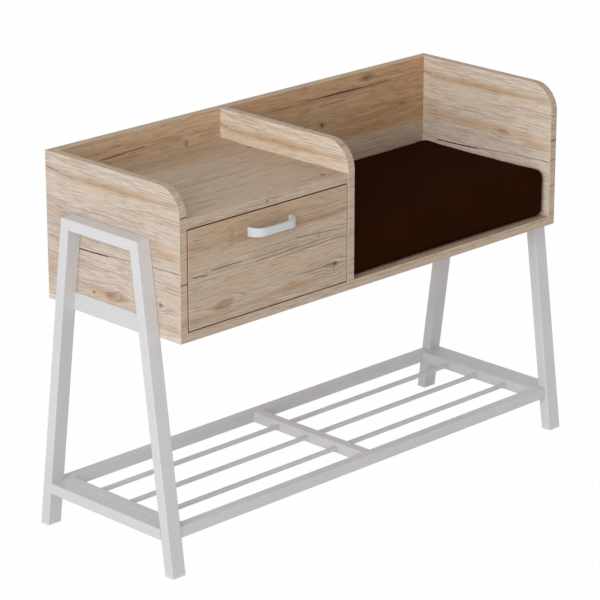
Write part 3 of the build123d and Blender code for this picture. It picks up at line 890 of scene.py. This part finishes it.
@dataclass(frozen=True)
class Plastic(Finish):
    """Moulded plastic of the rollers and the foot plugs.

    Attributes:
        colour: The plastic's colour.
        scuff: The colour of its faint scuffs.
        roughness: How matt it is.
    """

    colour: Colour
    scuff: Colour
    roughness: float

    def fill(self, shader: Shader, place: Outputs) -> None:
        """Add a fine spark-eroded texture with faint scuffs.

        Args:
            shader: The material's node tree.
            place: The coordinates that the nodes read.
        """
        texture = shader.noise(place["Object"], 1500.0, 3.0)
        upright = shader.stretch(place["Object"], 300.0, 300.0, 40.0)
        scuffs = shader.noise(upright, 1.0, 2.0).ease(0.6, 0.75)
        shader.surface(
            {
                "Base Color": shader.blend(scuffs * 0.35, self.colour, self.scuff),
                "Roughness": self.roughness + texture * 0.12 + scuffs * 0.1,
                "Specular IOR Level": 0.4,
                "Normal": shader.bump(texture, 0.03 * MM, 0.4),
            }
        )


@dataclass(frozen=True)
class Melamine(Finish):
    """Plain board of the drawer box, with its paper facing and its faint press texture.

    Attributes:
        colour: The facing's colour.
        fleck: The colour of the flecks in it.
        fleck_size: Length of a fleck, in metres.
    """

    colour: Colour
    fleck: Colour
    fleck_size: float = 1.5 * MM

    def fill(self, shader: Shader, place: Outputs) -> None:
        """Add flecks of fibre and the pearled texture of the press plate.

        Args:
            shader: The material's node tree.
            place: The coordinates that the nodes read.
        """
        drawn = shader.stretch(place["Object"], 0.4, 1.0, 1.0)
        flecks = shader.noise(drawn, 1 / self.fleck_size, 3.0).ease(0.56, 0.75)
        pearls = shader.cells(place["Object"], 900.0)
        shader.surface(
            {
                "Base Color": shader.blend(flecks * 0.5, self.colour, self.fleck),
                "Roughness": 0.52 + flecks * 0.1,
                "Specular IOR Level": 0.35,
                "Normal": shader.bump(pearls, 0.04 * MM, 0.4),
            }
        )


@dataclass(frozen=True)
class Beech(Finish):
    """Beech of the dowels.

    Attributes:
        colour: The wood's colour.
        fleck: Its small dark rays.
    """

    colour: Colour = srgb(214, 178, 136)
    fleck: Colour = srgb(176, 130, 88)

    def fill(self, shader: Shader, place: Outputs) -> None:
        """Add short rays along the dowel and a rough sawn surface.

        Args:
            shader: The material's node tree.
            place: The coordinates that the nodes read.
        """
        drawn = shader.stretch(place["Object"], 150.0, 1400.0, 1400.0)
        rays = shader.noise(drawn, 1.0, 2.0).ease(0.55, 0.75)
        shader.surface(
            {
                "Base Color": shader.blend(rays * 0.7, self.colour, self.fleck),
                "Roughness": 0.62 + rays * 0.12,
                "Normal": shader.bump(rays, 0.06 * MM, 0.5),
            }
        )


@dataclass(frozen=True)
class Leather(Finish):
    """Very dark brown artificial leather.

    Attributes:
        colour: The leather's colour.
        worn: The slightly paler colour of its high grain.
    """

    colour: Colour = srgb(40, 18, 5)
    worn: Colour = srgb(48, 24, 8)

    def fill(self, shader: Shader, place: Outputs) -> None:
        """Add pebbled grain, soft clouds of tone and a low uneven sheen.

        Args:
            shader: The material's node tree.
            place: The coordinates that the nodes read.
        """
        point = place["Object"]
        drift = shader.noise(point, 240.0, 2.0) - 0.5
        x, y, z = shader.split(point)
        pebbles = shader.cells(shader.join(x + drift * (2.0 * MM), y + drift * (2.0 * MM), z), 620.0)
        clouds = shader.noise(point, 9.0, 3.0)
        pores = shader.noise(point, 2400.0, 2.0)
        paler = clouds.ease(0.35, 0.7) * 0.35 + pebbles.ease(0.5, 0.2) * 0.25
        shader.surface(
            {
                "Base Color": shader.blend(paler, self.colour, self.worn),
                "Roughness": 0.60 + clouds * 0.08 + pores * 0.06,
                "Specular IOR Level": 0.004,
                "Normal": shader.bump(0.75 - pebbles * 0.8 + pores * 0.15, 0.18 * MM, 0.45),
            }
        )


WHITE_STEEL = Paint("white_powder_coat", srgb(217, 216, 217), srgb(209, 208, 209), 0.36)
WHITE_HEADS = Paint("white_screw_paint", srgb(228, 227, 227), srgb(216, 215, 215), 0.30)
RUNNER_COAT = Paint("white_runner_coat", srgb(226, 226, 224), srgb(214, 214, 212), 0.42)
PULL_ENAMEL = Paint("white_pull_enamel", srgb(210, 211, 213), srgb(203, 204, 206), 0.26, 0.015 * MM)


def select(piece: bpy.types.Object) -> None:
    """Select one piece alone and make it the active one.

    Args:
        piece: The piece.
    """
    bpy.ops.object.select_all(action="DESELECT")
    piece.select_set(True)
    bpy.context.view_layer.objects.active = piece


@contextmanager
def editing(piece: bpy.types.Object) -> Iterator[None]:
    """Hold one piece in edit mode with nothing else selected.

    Args:
        piece: The mesh that is shaped.

    Yields:
        Nothing, while the piece is in edit mode.
    """
    select(piece)
    bpy.ops.object.mode_set(mode="EDIT")
    yield
    bpy.ops.object.mode_set(mode="OBJECT")


def pick_faces(piece: bpy.types.Object, wanted: Callable[[Vector, Vector], bool]) -> None:
    """Select faces of the piece in edit mode by their middle and normal.

    Args:
        piece: The mesh in edit mode.
        wanted: Whether a face with this middle and normal is selected.
    """
    bpy.ops.mesh.select_mode(type="FACE")
    bpy.ops.mesh.select_all(action="DESELECT")
    mesh = bmesh.from_edit_mesh(piece.data)
    for face in mesh.faces:
        face.select_set(wanted(face.calc_center_median(), face.normal))
    bmesh.update_edit_mesh(piece.data)


def pick_edges(piece: bpy.types.Object, wanted: Callable[[Vector, Vector], bool]) -> None:
    """Select edges of the piece in edit mode by their two ends.

    Args:
        piece: The mesh in edit mode.
        wanted: Whether an edge between these two points is selected.
    """
    bpy.ops.mesh.select_mode(type="EDGE")
    bpy.ops.mesh.select_all(action="DESELECT")
    mesh = bmesh.from_edit_mesh(piece.data)
    for edge in mesh.edges:
        edge.select_set(wanted(edge.verts[0].co, edge.verts[1].co))
    bmesh.update_edit_mesh(piece.data)


def pick_points(piece: bpy.types.Object, wanted: Callable[[Vector], bool]) -> None:
    """Select points of the piece in edit mode by their place.

    Args:
        piece: The mesh in edit mode.
        wanted: Whether a point at this place is selected.
    """
    bpy.ops.mesh.select_mode(type="VERT")
    bpy.ops.mesh.select_all(action="DESELECT")
    mesh = bmesh.from_edit_mesh(piece.data)
    for point in mesh.verts:
        point.select_set(wanted(point.co))
    mesh.select_flush_mode()
    bmesh.update_edit_mesh(piece.data)


def extrude(x: float, y: float, z: float) -> None:
    """Extrude the selected faces by a step."""
    bpy.ops.mesh.extrude_region_move(TRANSFORM_OT_translate={"value": (x, y, z)})


def apply_modifier(piece: bpy.types.Object, kind: str, settings: dict) -> None:
    """Add a modifier to a piece and apply it.

    Args:
        piece: The mesh that it changes.
        kind: The modifier's type.
        settings: Its settings.
    """
    modifier = piece.modifiers.new(kind.lower(), kind)
    for name, setting in settings.items():
        setattr(modifier, name, setting)
    bpy.context.view_layer.objects.active = piece
    bpy.ops.object.modifier_apply(modifier=modifier.name)


def smooth_shade(piece: bpy.types.Object, angle: float) -> None:
    """Shade a piece smooth except at its sharp edges.

    Args:
        piece: The piece.
        angle: The least angle of a sharp edge, in degrees.
    """
    select(piece)
    bpy.ops.object.shade_smooth_by_angle(angle=math.radians(angle))


def paint(piece: bpy.types.Object, material: bpy.types.Material) -> None:
    """Give every slot of a piece one material.

    Args:
        piece: The piece.
        material: Its finish.
    """
    if not piece.material_slots:
        piece.data.materials.append(material)
    for slot in piece.material_slots:
        slot.material = material


def dress(nodes: Sequence[str], material: bpy.types.Material) -> None:
    """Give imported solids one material.

    Args:
        nodes: The names of the solids.
        material: Their finish.
    """
    for name in nodes:
        paint(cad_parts[name], material)
    LOG.info("%s on %d solids", material.name, len(nodes))


class Drive(Enum):
    """The recess in a screw's head."""

    SOCKET = "hexagon socket"
    CROSS = "cross recess"


@dataclass
class ScrewPlace:
    """Where one screw sits.

    Attributes:
        top: The middle of its head's top.
        way: The way it is driven.
        length: Its length from the head's top to its tip.
        head: Its head's radius.
    """

    top: Vector
    way: Vector
    length: float
    head: float


@dataclass
class ScrewSet:
    """Equal screws that stand for one node of plain screws.

    Attributes:
        node: The node of plain screws.
        body: The body that they ride on.
        slot: The record's material slot; not used.
        head_height: Height of the head.
        shank: Radius of the shank.
        drive: The recess in the head.
        sides: Sides of the head.
        plain_sides: Sides of the plain head that it stands for, and stays within.
        tip: Width of the tip, as a share of the shank's.
        rounding: Radius of the head's rim, as a share of the head's height.
        recess_depth: Depth of the recess, as a share of the head's height.
        socket_reach: Radius of a hexagon socket, as a share of the head's.
        blade: Length and width of one bar of a cross recess, as shares of the head's radius.
    """

    node: str
    body: str
    slot: str
    head_height: float
    shank: float
    drive: Drive
    sides: int = 32
    plain_sides: int = 8
    tip: float = 0.25
    rounding: float = 0.35
    recess_depth: float = 0.7
    socket_reach: float = 0.52
    blade: tuple[float, float] = (1.3, 0.26)

    def places(self) -> list[ScrewPlace]:
        """Read each screw's place from its solid in the frame.

        Returns:
            The places, one for each solid.
        """
        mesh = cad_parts[self.node].data
        home: dict[tuple, tuple] = {}

        def root(key: tuple) -> tuple:
            """The point that stands for all the points of a solid.

            Args:
                key: One of its points.

            Returns:
                The point that stands for them.
            """
            while home[key] != key:
                key = home[key]
            return key

        # The solids are loose triangles, so points that agree to a micrometre are one.
        for polygon in mesh.polygons:
            keys = [tuple(round(part, 6) for part in mesh.vertices[i].co) for i in polygon.vertices]
            for key in keys:
                home.setdefault(key, key)
            for key in keys[1:]:
                home[root(key)] = root(keys[0])
        solids: dict[tuple, list[Vector]] = {}
        for key in home:
            solids.setdefault(root(key), []).append(Vector(key))
        return [self.place(points) for points in solids.values()]

    def place(self, points: Sequence[Vector]) -> ScrewPlace:
        """Work out the place of one screw from its solid's points.

        Args:
            points: The solid's corners.

        Returns:
            Its place, with the head at the wider end.
        """
        low = Vector(min(p[i] for p in points) for i in range(3))
        high = Vector(max(p[i] for p in points) for i in range(3))
        middle = (low + high) / 2
        axis = max(range(3), key=lambda i: high[i] - low[i])

        def spread(end: float) -> float:
            """The widest reach from the axis at one end.

            Args:
                end: The end's place on the axis.

            Returns:
                The reach.
            """
            reaches = [p - middle for p in points if abs(p[axis] - end) < 0.1 * MM]
            for reach in reaches:
                reach[axis] = 0.0
            return max(reach.length for reach in reaches)

        head_low = spread(low[axis]) > spread(high[axis])
        top, way = middle.copy(), Vector()
        top[axis] = low[axis] if head_low else high[axis]
        way[axis] = 1.0 if head_low else -1.0
        return ScrewPlace(top, way, high[axis] - low[axis], max(spread(low[axis]), spread(high[axis])))

    def model(self, place: ScrewPlace) -> bpy.types.Object:
        """Model one screw at the origin, with its head's top at the floor and its tip below.

        Args:
            place: A place that gives its length and head.

        Returns:
            The screw.
        """
        radius = place.head * math.cos(math.pi / self.plain_sides)
        middle = (0, 0, -self.head_height / 2)
        bpy.ops.object.select_all(action="DESELECT")
        bpy.ops.mesh.primitive_cylinder_add(
            vertices=self.sides, radius=radius, depth=self.head_height, location=middle
        )
        bpy.ops.object.transform_apply(location=True, rotation=True, scale=True)
        screw = bpy.context.object
        with editing(screw):
            pick_faces(screw, lambda middle, normal: normal.z < -0.9)
            bpy.ops.mesh.inset(thickness=radius - self.shank)
            extrude(0, 0, -(place.length - self.head_height - self.shank))
            extrude(0, 0, -self.shank)
            bpy.ops.transform.resize(value=(self.tip, self.tip, 1), center_override=(0, 0, -place.length))
            pick_edges(screw, lambda a, b: min(a.z, b.z) > -NEAR)
            bpy.ops.mesh.bevel(offset=self.rounding * self.head_height, segments=4, affect="EDGES")
        self.recess(screw, radius)
        smooth_shade(screw, angle=35)
        return screw

    def recess(self, screw: bpy.types.Object, radius: float) -> None:
        """Cut the recess into a screw's head.

        Args:
            screw: The screw.
            radius: Its head's radius.
        """
        height = 2 * self.recess_depth * self.head_height
        bpy.ops.object.select_all(action="DESELECT")
        if self.drive is Drive.SOCKET:
            reach = self.socket_reach * radius
            bpy.ops.mesh.primitive_cylinder_add(vertices=6, radius=reach, depth=height)
        else:
            bar = (self.blade[0] * radius, self.blade[1] * radius, height)
            bpy.ops.mesh.primitive_cube_add(size=1, scale=bar)
            first = bpy.context.object
            bpy.ops.mesh.primitive_cube_add(size=1, scale=bar, rotation=(0, 0, math.pi / 2))
            first.select_set(True)
            bpy.ops.object.join()
        cutter = bpy.context.object
        cut = {"operation": "DIFFERENCE", "object": cutter, "solver": "EXACT", "use_self": True}
        apply_modifier(screw, "BOOLEAN", cut)
        bpy.data.objects.remove(cutter)

    def build(self, material: bpy.types.Material) -> bpy.types.Object:
        """Model the screw once, copy it to every place and join the copies.

        Args:
            material: The screws' finish.

        Returns:
            The set as one piece.
        """
        places = self.places()
        first = self.model(places[0])
        copies = []
        for place in places:
            copy = first.copy()
            copy.data = first.data.copy()
            bpy.context.collection.objects.link(copy)
            turn = Vector((0, 0, -1)).rotation_difference(place.way).to_matrix().to_4x4()
            copy.matrix_world = Matrix.Translation(place.top) @ turn
            copies.append(copy)
        bpy.data.objects.remove(first)
        bpy.context.view_layer.update()
        bpy.ops.object.select_all(action="DESELECT")
        for copy in copies:
            copy.select_set(True)
        bpy.context.view_layer.objects.active = copies[0]
        bpy.ops.object.transform_apply(location=True, rotation=True, scale=True)
        bpy.ops.object.join()
        piece = bpy.context.object
        piece.name = f"detailed_{self.node}"
        paint(piece, material)
        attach(piece, self.body)
        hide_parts(self.node)
        LOG.info("%s: %d screws with a %s", piece.name, len(places), self.drive.value)
        return piece


@dataclass
class Cabinet:
    """The boards of the cabinet with their screws and dowels.

    Attributes:
        outer: The board with a rounded corner at the drawer's end.
        inner: The other boards with a rounded corner.
        flat_boards: Boards with straight edges.
        front: The drawer's front, with painted shade on its narrow faces.
        outer_painted_shade: What the outer board's end sheet is multiplied by, a painted shade that
            darkens its face.
        inner_painted_light: What the inner boards' end sheets are multiplied by, a painted light that
            brightens their faces in the bays.
        front_gap_shade: What the front's narrow faces are multiplied by, a brown painted shade for the
            gaps round the drawer.
        screws: The screws that hold the boards together.
    """

    outer: tuple[str, ...] = ("left_side_panel",)
    inner: tuple[str, ...] = ("right_side_panel", "divider_panel")
    flat_boards: tuple[str, ...] = ("bottom_panel", "back_panel", "top_panel")
    front: tuple[str, ...] = ("drawer_front",)
    outer_painted_shade: Colour = srgb(238, 238, 241)
    inner_painted_light: Colour = (1.06, 1.06, 1.07, 1.0)
    front_gap_shade: Colour = srgb(214, 154, 108)
    screws: tuple[ScrewSet, ...] = (
        ScrewSet("cabinet_screws", "bench", "zinc_screws", 3 * MM, 3 * MM, Drive.SOCKET),
    )

    def build(self, plating: bpy.types.Material) -> None:
        """Dress the boards and model the screws.

        Args:
            plating: The screws' finish.
        """
        uprights = END_MARKS + EDGE_MARKS
        # The outer and inner boards share one decor and differ only in the painted light and shade on
        # their end faces.
        outer = OakDecor("oak_decor_outer_shaded", True, uprights, self.outer_painted_shade, planks=())
        inner = OakDecor("oak_decor_inner_lit", True, uprights, self.inner_painted_light, planks=())
        flat = OakDecor("oak_decor_flat", False, FRONT_MARKS + TOP_MARKS)
        front = OakDecor("oak_decor_front_gap_shade", False, FRONT_MARKS, rim=self.front_gap_shade)
        dress(self.outer, outer.material())
        dress(self.inner, inner.material())
        dress(self.flat_boards, flat.material())
        dress(self.front, front.material())
        dress(("cabinet_dowels",), Beech("beech_dowel").material())
        for screws in self.screws:
            screws.build(plating)


@dataclass
class BowPull:
    """The white bow pull of the drawer, bent from flat bar and narrower at its middle.

    Attributes:
        thickness: Thickness of the bar.
        bend: Outer radius of its bends.
        waist: Its height at the middle.
        edge: Radius of its rounded rims.
        bend_steps: Steps in a bend.
        bar_steps: Steps along the bar, an even number.
    """

    thickness: float = 6 * MM
    bend: float = 23 * MM
    waist: float = 13 * MM
    edge: float = 1.2 * MM
    bend_steps: int = 12
    bar_steps: int = 12

    def build(self) -> bpy.types.Object:
        """Model the pull from its left foot to its right one.

        Returns:
            The pull.
        """
        low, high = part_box("drawer_pull")
        middle = (low + high) / 2
        straight = (high.y - low.y) - self.bend
        step = ((high.x - low.x) - 2 * self.bend) / self.bar_steps
        foot = (low.x + self.thickness / 2, high.y, middle.z)
        bpy.ops.object.select_all(action="DESELECT")
        bpy.ops.mesh.primitive_plane_add(size=1, location=foot, rotation=(math.pi / 2, 0, 0))
        pull = bpy.context.object
        pull.scale = (self.thickness, high.z - low.z, 1)
        bpy.ops.object.transform_apply(location=True, rotation=True, scale=True)
        pull.name = "bow_pull"
        with editing(pull):
            bpy.ops.mesh.select_all(action="SELECT")
            extrude(0, -straight, 0)
            self.turn((low.x + self.bend, low.y + self.bend, middle.z))
            for _ in range(self.bar_steps):
                extrude(step, 0, 0)
            self.turn((high.x - self.bend, low.y + self.bend, middle.z))
            extrude(0, straight, 0)
            bpy.ops.mesh.select_all(action="SELECT")
            bpy.ops.mesh.remove_doubles(threshold=NEAR)
            bpy.ops.mesh.normals_make_consistent(inside=False)
            pick_edges(pull, lambda a, b: self.is_rim(a, b, low, high))
            bpy.ops.mesh.bevel(offset=self.edge, segments=4, affect="EDGES")
            pick_points(pull, lambda at: abs(at.x - middle.x) < NEAR)
            bpy.ops.transform.resize(
                value=(1, 1, self.waist / (high.z - low.z)),
                center_override=middle,
                use_proportional_edit=True,
                proportional_edit_falloff="INVERSE_SQUARE",
                proportional_size=(high.x - low.x) / 2,
            )
        smooth_shade(pull, angle=40)
        paint(pull, PULL_ENAMEL.material())
        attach(pull, "drawer")
        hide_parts("drawer_pull")
        LOG.info("%s: %d faces", pull.name, len(pull.data.polygons))
        return pull

    def turn(self, centre: Sequence[float]) -> None:
        """Bend the selected end of the bar a quarter turn round an upright axis."""
        bpy.ops.mesh.spin(steps=self.bend_steps, angle=-math.pi / 2, center=centre, axis=(0, 0, 1))

    def is_rim(self, first: Vector, second: Vector, low: Vector, high: Vector) -> bool:
        """Whether an edge runs along the bar's upper or lower rim.

        Args:
            first: One end of the edge.
            second: Its other end.
            low: The pull's lowest corner.
            high: The pull's highest corner.

        Returns:
            True for a rim, and False for a corner, a foot or an edge across the bar's thickness.
        """
        level = abs(first.z - second.z) < NEAR and min(first.z - low.z, high.z - first.z) < NEAR
        foot = min(first.y, second.y) > high.y - NEAR
        along = abs((second - first).length - self.thickness) > NEAR
        return level and along and not foot


@dataclass
class Drawer:
    """The drawer's box, its pull and its screws.

    Attributes:
        box_boards: The boards round the box.
        base: The sheet in the box's grooves.
        board: The boards' facing.
        sheet: The sheet's facing.
        pull: The pull on the front.
        screws: The screws of the box, the front and the pull.
    """

    box_boards: tuple[str, ...] = (
        "drawer_inner_front",
        "drawer_left_side",
        "drawer_right_side",
        "drawer_back",
    )
    base: tuple[str, ...] = ("drawer_base",)
    board: Melamine = Melamine("off_white_melamine", srgb(231, 229, 224), srgb(216, 213, 206))
    sheet: Melamine = Melamine("white_hardboard", srgb(233, 231, 226), srgb(205, 199, 188), 0.9 * MM)
    pull: BowPull = field(default_factory=BowPull)
    screws: tuple[ScrewSet, ...] = (
        ScrewSet("drawer_corner_screws", "drawer", "zinc_screws", 3 * MM, 3 * MM, Drive.SOCKET),
        ScrewSet("drawer_front_screws", "drawer", "zinc_screws", 2 * MM, 1.75 * MM, Drive.CROSS),
        ScrewSet("pull_screws", "drawer", "zinc_screws", 2.4 * MM, 2 * MM, Drive.CROSS),
    )

    def build(self, plating: bpy.types.Material) -> None:
        """Dress the box and model the pull and the screws.

        Args:
            plating: The screws' finish.
        """
        dress(self.box_boards, self.board.material())
        dress(self.base, self.sheet.material())
        self.pull.build()
        for screws in self.screws:
            screws.build(plating)


@dataclass
class Runners:
    """The roller runners under the drawer.

    Attributes:
        rails: The rolled rails on the cabinet and the drawer.
        rollers: The rollers on them.
        rivets: The rivets that the rollers turn on.
        acetal: The rollers' plastic.
        screws: The rails' screws.
    """

    rails: tuple[str, ...] = (
        "left_track_runner",
        "right_track_runner",
        "left_drawer_runner",
        "right_drawer_runner",
    )
    rollers: tuple[str, ...] = (
        "left_track_roller",
        "right_track_roller",
        "left_drawer_roller",
        "right_drawer_roller",
    )
    rivets: tuple[str, ...] = ("track_rivets", "drawer_rivets")
    acetal: Plastic = Plastic("white_acetal", srgb(236, 235, 231), srgb(205, 203, 198), 0.36)
    screws: tuple[ScrewSet, ...] = (
        ScrewSet("track_screws", "bench", "zinc_screws", 0.8 * MM, 1.75 * MM, Drive.CROSS),
        ScrewSet("drawer_runner_screws", "drawer", "zinc_screws", 0.8 * MM, 1.75 * MM, Drive.CROSS),
    )

    def build(self, plating: bpy.types.Material) -> None:
        """Dress the rails, rollers and rivets and model the screws.

        Args:
            plating: The finish of the rivets and the screws.
        """
        dress(self.rails, RUNNER_COAT.material())
        dress(self.rollers, self.acetal.material())
        dress(self.rivets, plating)
        for screws in self.screws:
            screws.build(plating)


@dataclass
class EndFrames:
    """The two white steel end frames, the shoe shelf that joins them and their screws.

    Attributes:
        ends: The two ends of the bench.
        frame_pieces: The pieces of a frame, without the end's name.
        foot_pieces: The plugs of a frame, without the end's name.
        shelf: How the names of the shelf's pieces start.
        plug: The plugs' plastic.
        screws: The screws with white heads.
    """

    ends: tuple[str, ...] = ("left", "right")
    frame_pieces: tuple[str, ...] = ("front_leg", "rear_leg", "top_bar", "cross_bar", "support_angle")
    foot_pieces: tuple[str, ...] = ("front_foot", "rear_foot")
    shelf: str = "shelf_"
    plug: Plastic = Plastic("white_polyethylene", srgb(226, 225, 224), srgb(206, 205, 203), 0.46)
    screws: tuple[ScrewSet, ...] = (
        ScrewSet("frame_screws", "bench", "white_screw_heads", 2.4 * MM, 2.5 * MM, Drive.SOCKET),
        ScrewSet("shelf_screws", "bench", "white_screw_heads", 2.0 * MM, 2.5 * MM, Drive.SOCKET),
    )

    def build(self, plating: bpy.types.Material) -> None:
        """Dress the tubes, rods and plugs and model the screws.

        Args:
            plating: The finish of the hidden screws.
        """
        heads = [screws.node for screws in self.screws]
        tubes = [f"{end}_{piece}" for end in self.ends for piece in self.frame_pieces]
        tubes += [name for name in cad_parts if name.startswith(self.shelf) and name not in heads]
        feet = [f"{end}_{piece}" for end in self.ends for piece in self.foot_pieces]
        dress(tubes, WHITE_STEEL.material())
        dress(feet, self.plug.material())
        dress(("angle_screws",), plating)
        white = WHITE_HEADS.material()
        for screws in self.screws:
            screws.build(white)


@dataclass
class SeatCushion:
    """The loose seat cushion, stuffed by a short cloth simulation.

    Attributes:
        shrink: How much smaller the cover starts.
        voxel: Size of the cover's cells.
        pressure: The stuffing's pressure.
        frames: Frames that the stuffing runs for.
        cap: The furthest that the cover may swell.
        fill: How tight the cushion is; not used.
        quality: Steps of the simulation in a frame.
        stiffness: How hard the cover is to bend.
        slack: How much larger than its rest size the cover may get.
    """

    shrink: float = 0.3 * MM
    voxel: float = 4.6 * MM
    pressure: float = 4.0
    frames: int = 20
    cap: float = 0.8 * MM
    fill: float = 0.85
    quality: int = 4
    stiffness: float = 5.0
    slack: float = 0.01

    def build(self) -> bpy.types.Object:
        """Make the cover from the solid, stuff it and dress it.

        Returns:
            The cushion.
        """
        low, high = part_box("seat_cushion")
        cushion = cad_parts["seat_cushion"].copy()
        cushion.data = cushion.data.copy()
        cushion.name = "stuffed_cushion"
        for key in [key for key in cushion.keys() if key.startswith("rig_")]:
            del cushion[key]
        cushion.parent = None
        cushion.matrix_world = Matrix.Identity(4)
        bpy.context.collection.objects.link(cushion)
        middle, size = (low + high) / 2, high - low
        with editing(cushion):
            bpy.ops.mesh.select_all(action="SELECT")
            bpy.ops.mesh.remove_doubles(threshold=NEAR)
            bpy.ops.mesh.normals_make_consistent(inside=False)
            shrunk = [1 - 2 * self.shrink / part for part in size]
            bpy.ops.transform.resize(value=shrunk, center_override=middle)
        apply_modifier(cushion, "REMESH", {"mode": "VOXEL", "voxel_size": self.voxel})
        self.stuff(cushion)
        apply_modifier(cushion, "SMOOTH", {"factor": 0.5, "iterations": 1})
        self.settle(cushion, low, high)
        apply_modifier(cushion, "SUBSURF", {"levels": 1, "render_levels": 1})
        self.settle(cushion, low, high)
        smooth_shade(cushion, angle=180)
        paint(cushion, Leather("dark_brown_leather").material())
        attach(cushion, "cushion")
        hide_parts("seat_cushion")
        LOG.info("%s: %d faces", cushion.name, len(cushion.data.polygons))
        return cushion

    def stuff(self, cushion: bpy.types.Object) -> None:
        """Swell the cover with a cloth simulation and keep it within the cap.

        Args:
            cushion: The cover.
        """
        start = [vertex.co.copy() for vertex in cushion.data.vertices]
        modifier = cushion.modifiers.new("stuffing", "CLOTH")
        settings = modifier.settings
        settings.quality = self.quality
        settings.use_pressure = True
        settings.uniform_pressure_force = self.pressure
        settings.effector_weights.gravity = 0.0
        settings.bending_stiffness = self.stiffness
        settings.shrink_min = -self.slack
        modifier.point_cache.frame_end = self.frames
        scene = bpy.context.scene
        for number in range(1, self.frames + 1):
            scene.frame_set(number)
        bpy.context.view_layer.objects.active = cushion
        bpy.ops.object.modifier_apply(modifier=modifier.name)
        scene.frame_set(1)
        for vertex, place in zip(cushion.data.vertices, start):
            move = vertex.co - place
            if move.length > self.cap:
                vertex.co = place + move.normalized() * self.cap

    def settle(self, cushion: bpy.types.Object, low: Vector, high: Vector) -> None:
        """Keep the cushion within its bay, flat where it rests on the board.

        Args:
            cushion: The cushion.
            low: The lowest corner that it may reach.
            high: The highest corner that it may reach.
        """
        for vertex in cushion.data.vertices:
            for axis in range(3):
                vertex.co[axis] = min(max(vertex.co[axis], low[axis]), high[axis])


@dataclass
class Studio:
    """A plain pale floor, soft light from the left and the photograph's camera.

    Attributes:
        azimuth: The camera's turn from straight in front, in degrees.
        elevation: Its height over the horizon, in degrees.
        distance: Its distance from the target.
        target: The point that it looks at.
        lens: Its focal length, in millimetres.
        sensor: Width of its picture, in millimetres.
        key_level: How bright the key light makes a white face that looks at it.
        key_way: The way from the bench to the key light.
        key_distance: The key light's distance.
        key_size: Its width.
        sky_level: How bright the world makes a white face that sees only sky.
        floor_size: Width of the floor.
        floor_white: How much of the floor's white doesn't depend on the light.
        floor_colour: The floor's own colour.
        white: The white of what is seen round the bench.
    """

    azimuth: float = -44.817
    elevation: float = 19.052
    distance: float = 5.2738
    target: Vector = field(default_factory=lambda: Vector((-0.02796, 0.00975, 0.34163)))
    lens: float = 176.77
    sensor: float = 36.0
    key_level: float = 0.52
    key_way: Vector = field(default_factory=lambda: Vector((-0.85, -0.38, 0.36)).normalized())
    key_distance: float = 8.0
    key_size: float = 5.0
    sky_level: float = 0.50
    floor_size: float = 60.0
    floor_white: float = 0.985
    floor_colour: Colour = (0.95, 0.95, 0.95, 1.0)
    white: Colour = (1.0, 1.0, 1.0, 1.0)

    def build(self) -> None:
        """Set the floor, the light and the camera."""
        self.floor()
        self.world()
        self.key()
        self.camera()
        bpy.context.scene.view_settings.view_transform = "Standard"

    def seen(self, shader: Shader) -> Socket:
        """One on rays from the camera, mirrors and glass, and nought on rays that light the bench."""
        path = shader.node("ShaderNodeLightPath")
        return path["Is Camera Ray"] | path["Is Glossy Ray"] | path["Is Transmission Ray"]

    def floor(self) -> None:
        """A white floor that keeps a faint shadow."""
        bpy.ops.object.select_all(action="DESELECT")
        bpy.ops.mesh.primitive_plane_add(size=self.floor_size)
        floor = bpy.context.object
        floor.name = "floor"
        material, shader = new_shader("white_floor")
        matt = shader.node("ShaderNodeBsdfDiffuse", values={"Color": self.floor_colour})["BSDF"]
        glow = {"Color": self.white, "Strength": 1.0}
        white = shader.node("ShaderNodeEmission", values=glow)["Emission"]
        share = self.seen(shader) * self.floor_white
        mixed = shader.node("ShaderNodeMixShader", values={0: share, 1: matt, 2: white})["Shader"]
        shader.node("ShaderNodeOutputMaterial", values={"Surface": mixed})
        paint(floor, material)

    def world(self) -> None:
        """An even sky that is white where it is seen."""
        world = bpy.data.worlds.new("studio_sky")
        world.use_nodes = True
        shader = Shader(world.node_tree)
        strength = self.sky_level + self.seen(shader) * (1 - self.sky_level)
        values = {"Color": self.white, "Strength": strength}
        sky = shader.node("ShaderNodeBackground", values=values)["Background"]
        shader.node("ShaderNodeOutputWorld", values={"Surface": sky})
        bpy.context.scene.world = world

    def key(self) -> None:
        """One large soft light at the left front."""
        light = bpy.data.lights.new("key_light", "AREA")
        light.shape = "SQUARE"
        light.size = self.key_size
        light.energy = self.key_level * (math.pi * self.key_distance) ** 2
        lamp = bpy.data.objects.new("key_light", light)
        bpy.context.collection.objects.link(lamp)
        lamp.location = self.target + self.key_way * self.key_distance
        lamp.rotation_euler = self.key_way.to_track_quat("Z", "Y").to_euler()

    def camera(self) -> None:
        """The camera at the photograph's place."""
        turn, rise = math.radians(self.azimuth), math.radians(self.elevation)
        level = math.cos(rise)
        back = Vector((math.sin(turn) * level, -math.cos(turn) * level, math.sin(rise)))
        data = bpy.data.cameras.new("camera")
        data.sensor_width = self.sensor
        data.lens = self.lens
        camera = bpy.data.objects.new("camera", data)
        bpy.context.collection.objects.link(camera)
        camera.location = self.target + back * self.distance
        camera.rotation_euler = back.to_track_quat("Z", "Y").to_euler()
        bpy.context.scene.camera = camera


def main() -> None:
    """Build the bench's pieces in order, then the studio."""
    logging.basicConfig(level=logging.INFO, format="%(message)s")
    plating = Plating("zinc_plating").material()
    Cabinet().build(plating)
    Drawer().build(plating)
    Runners().build(plating)
    EndFrames().build(plating)
    SeatCushion().build()
    Studio().build()


if __name__ == "__main__":
    main()
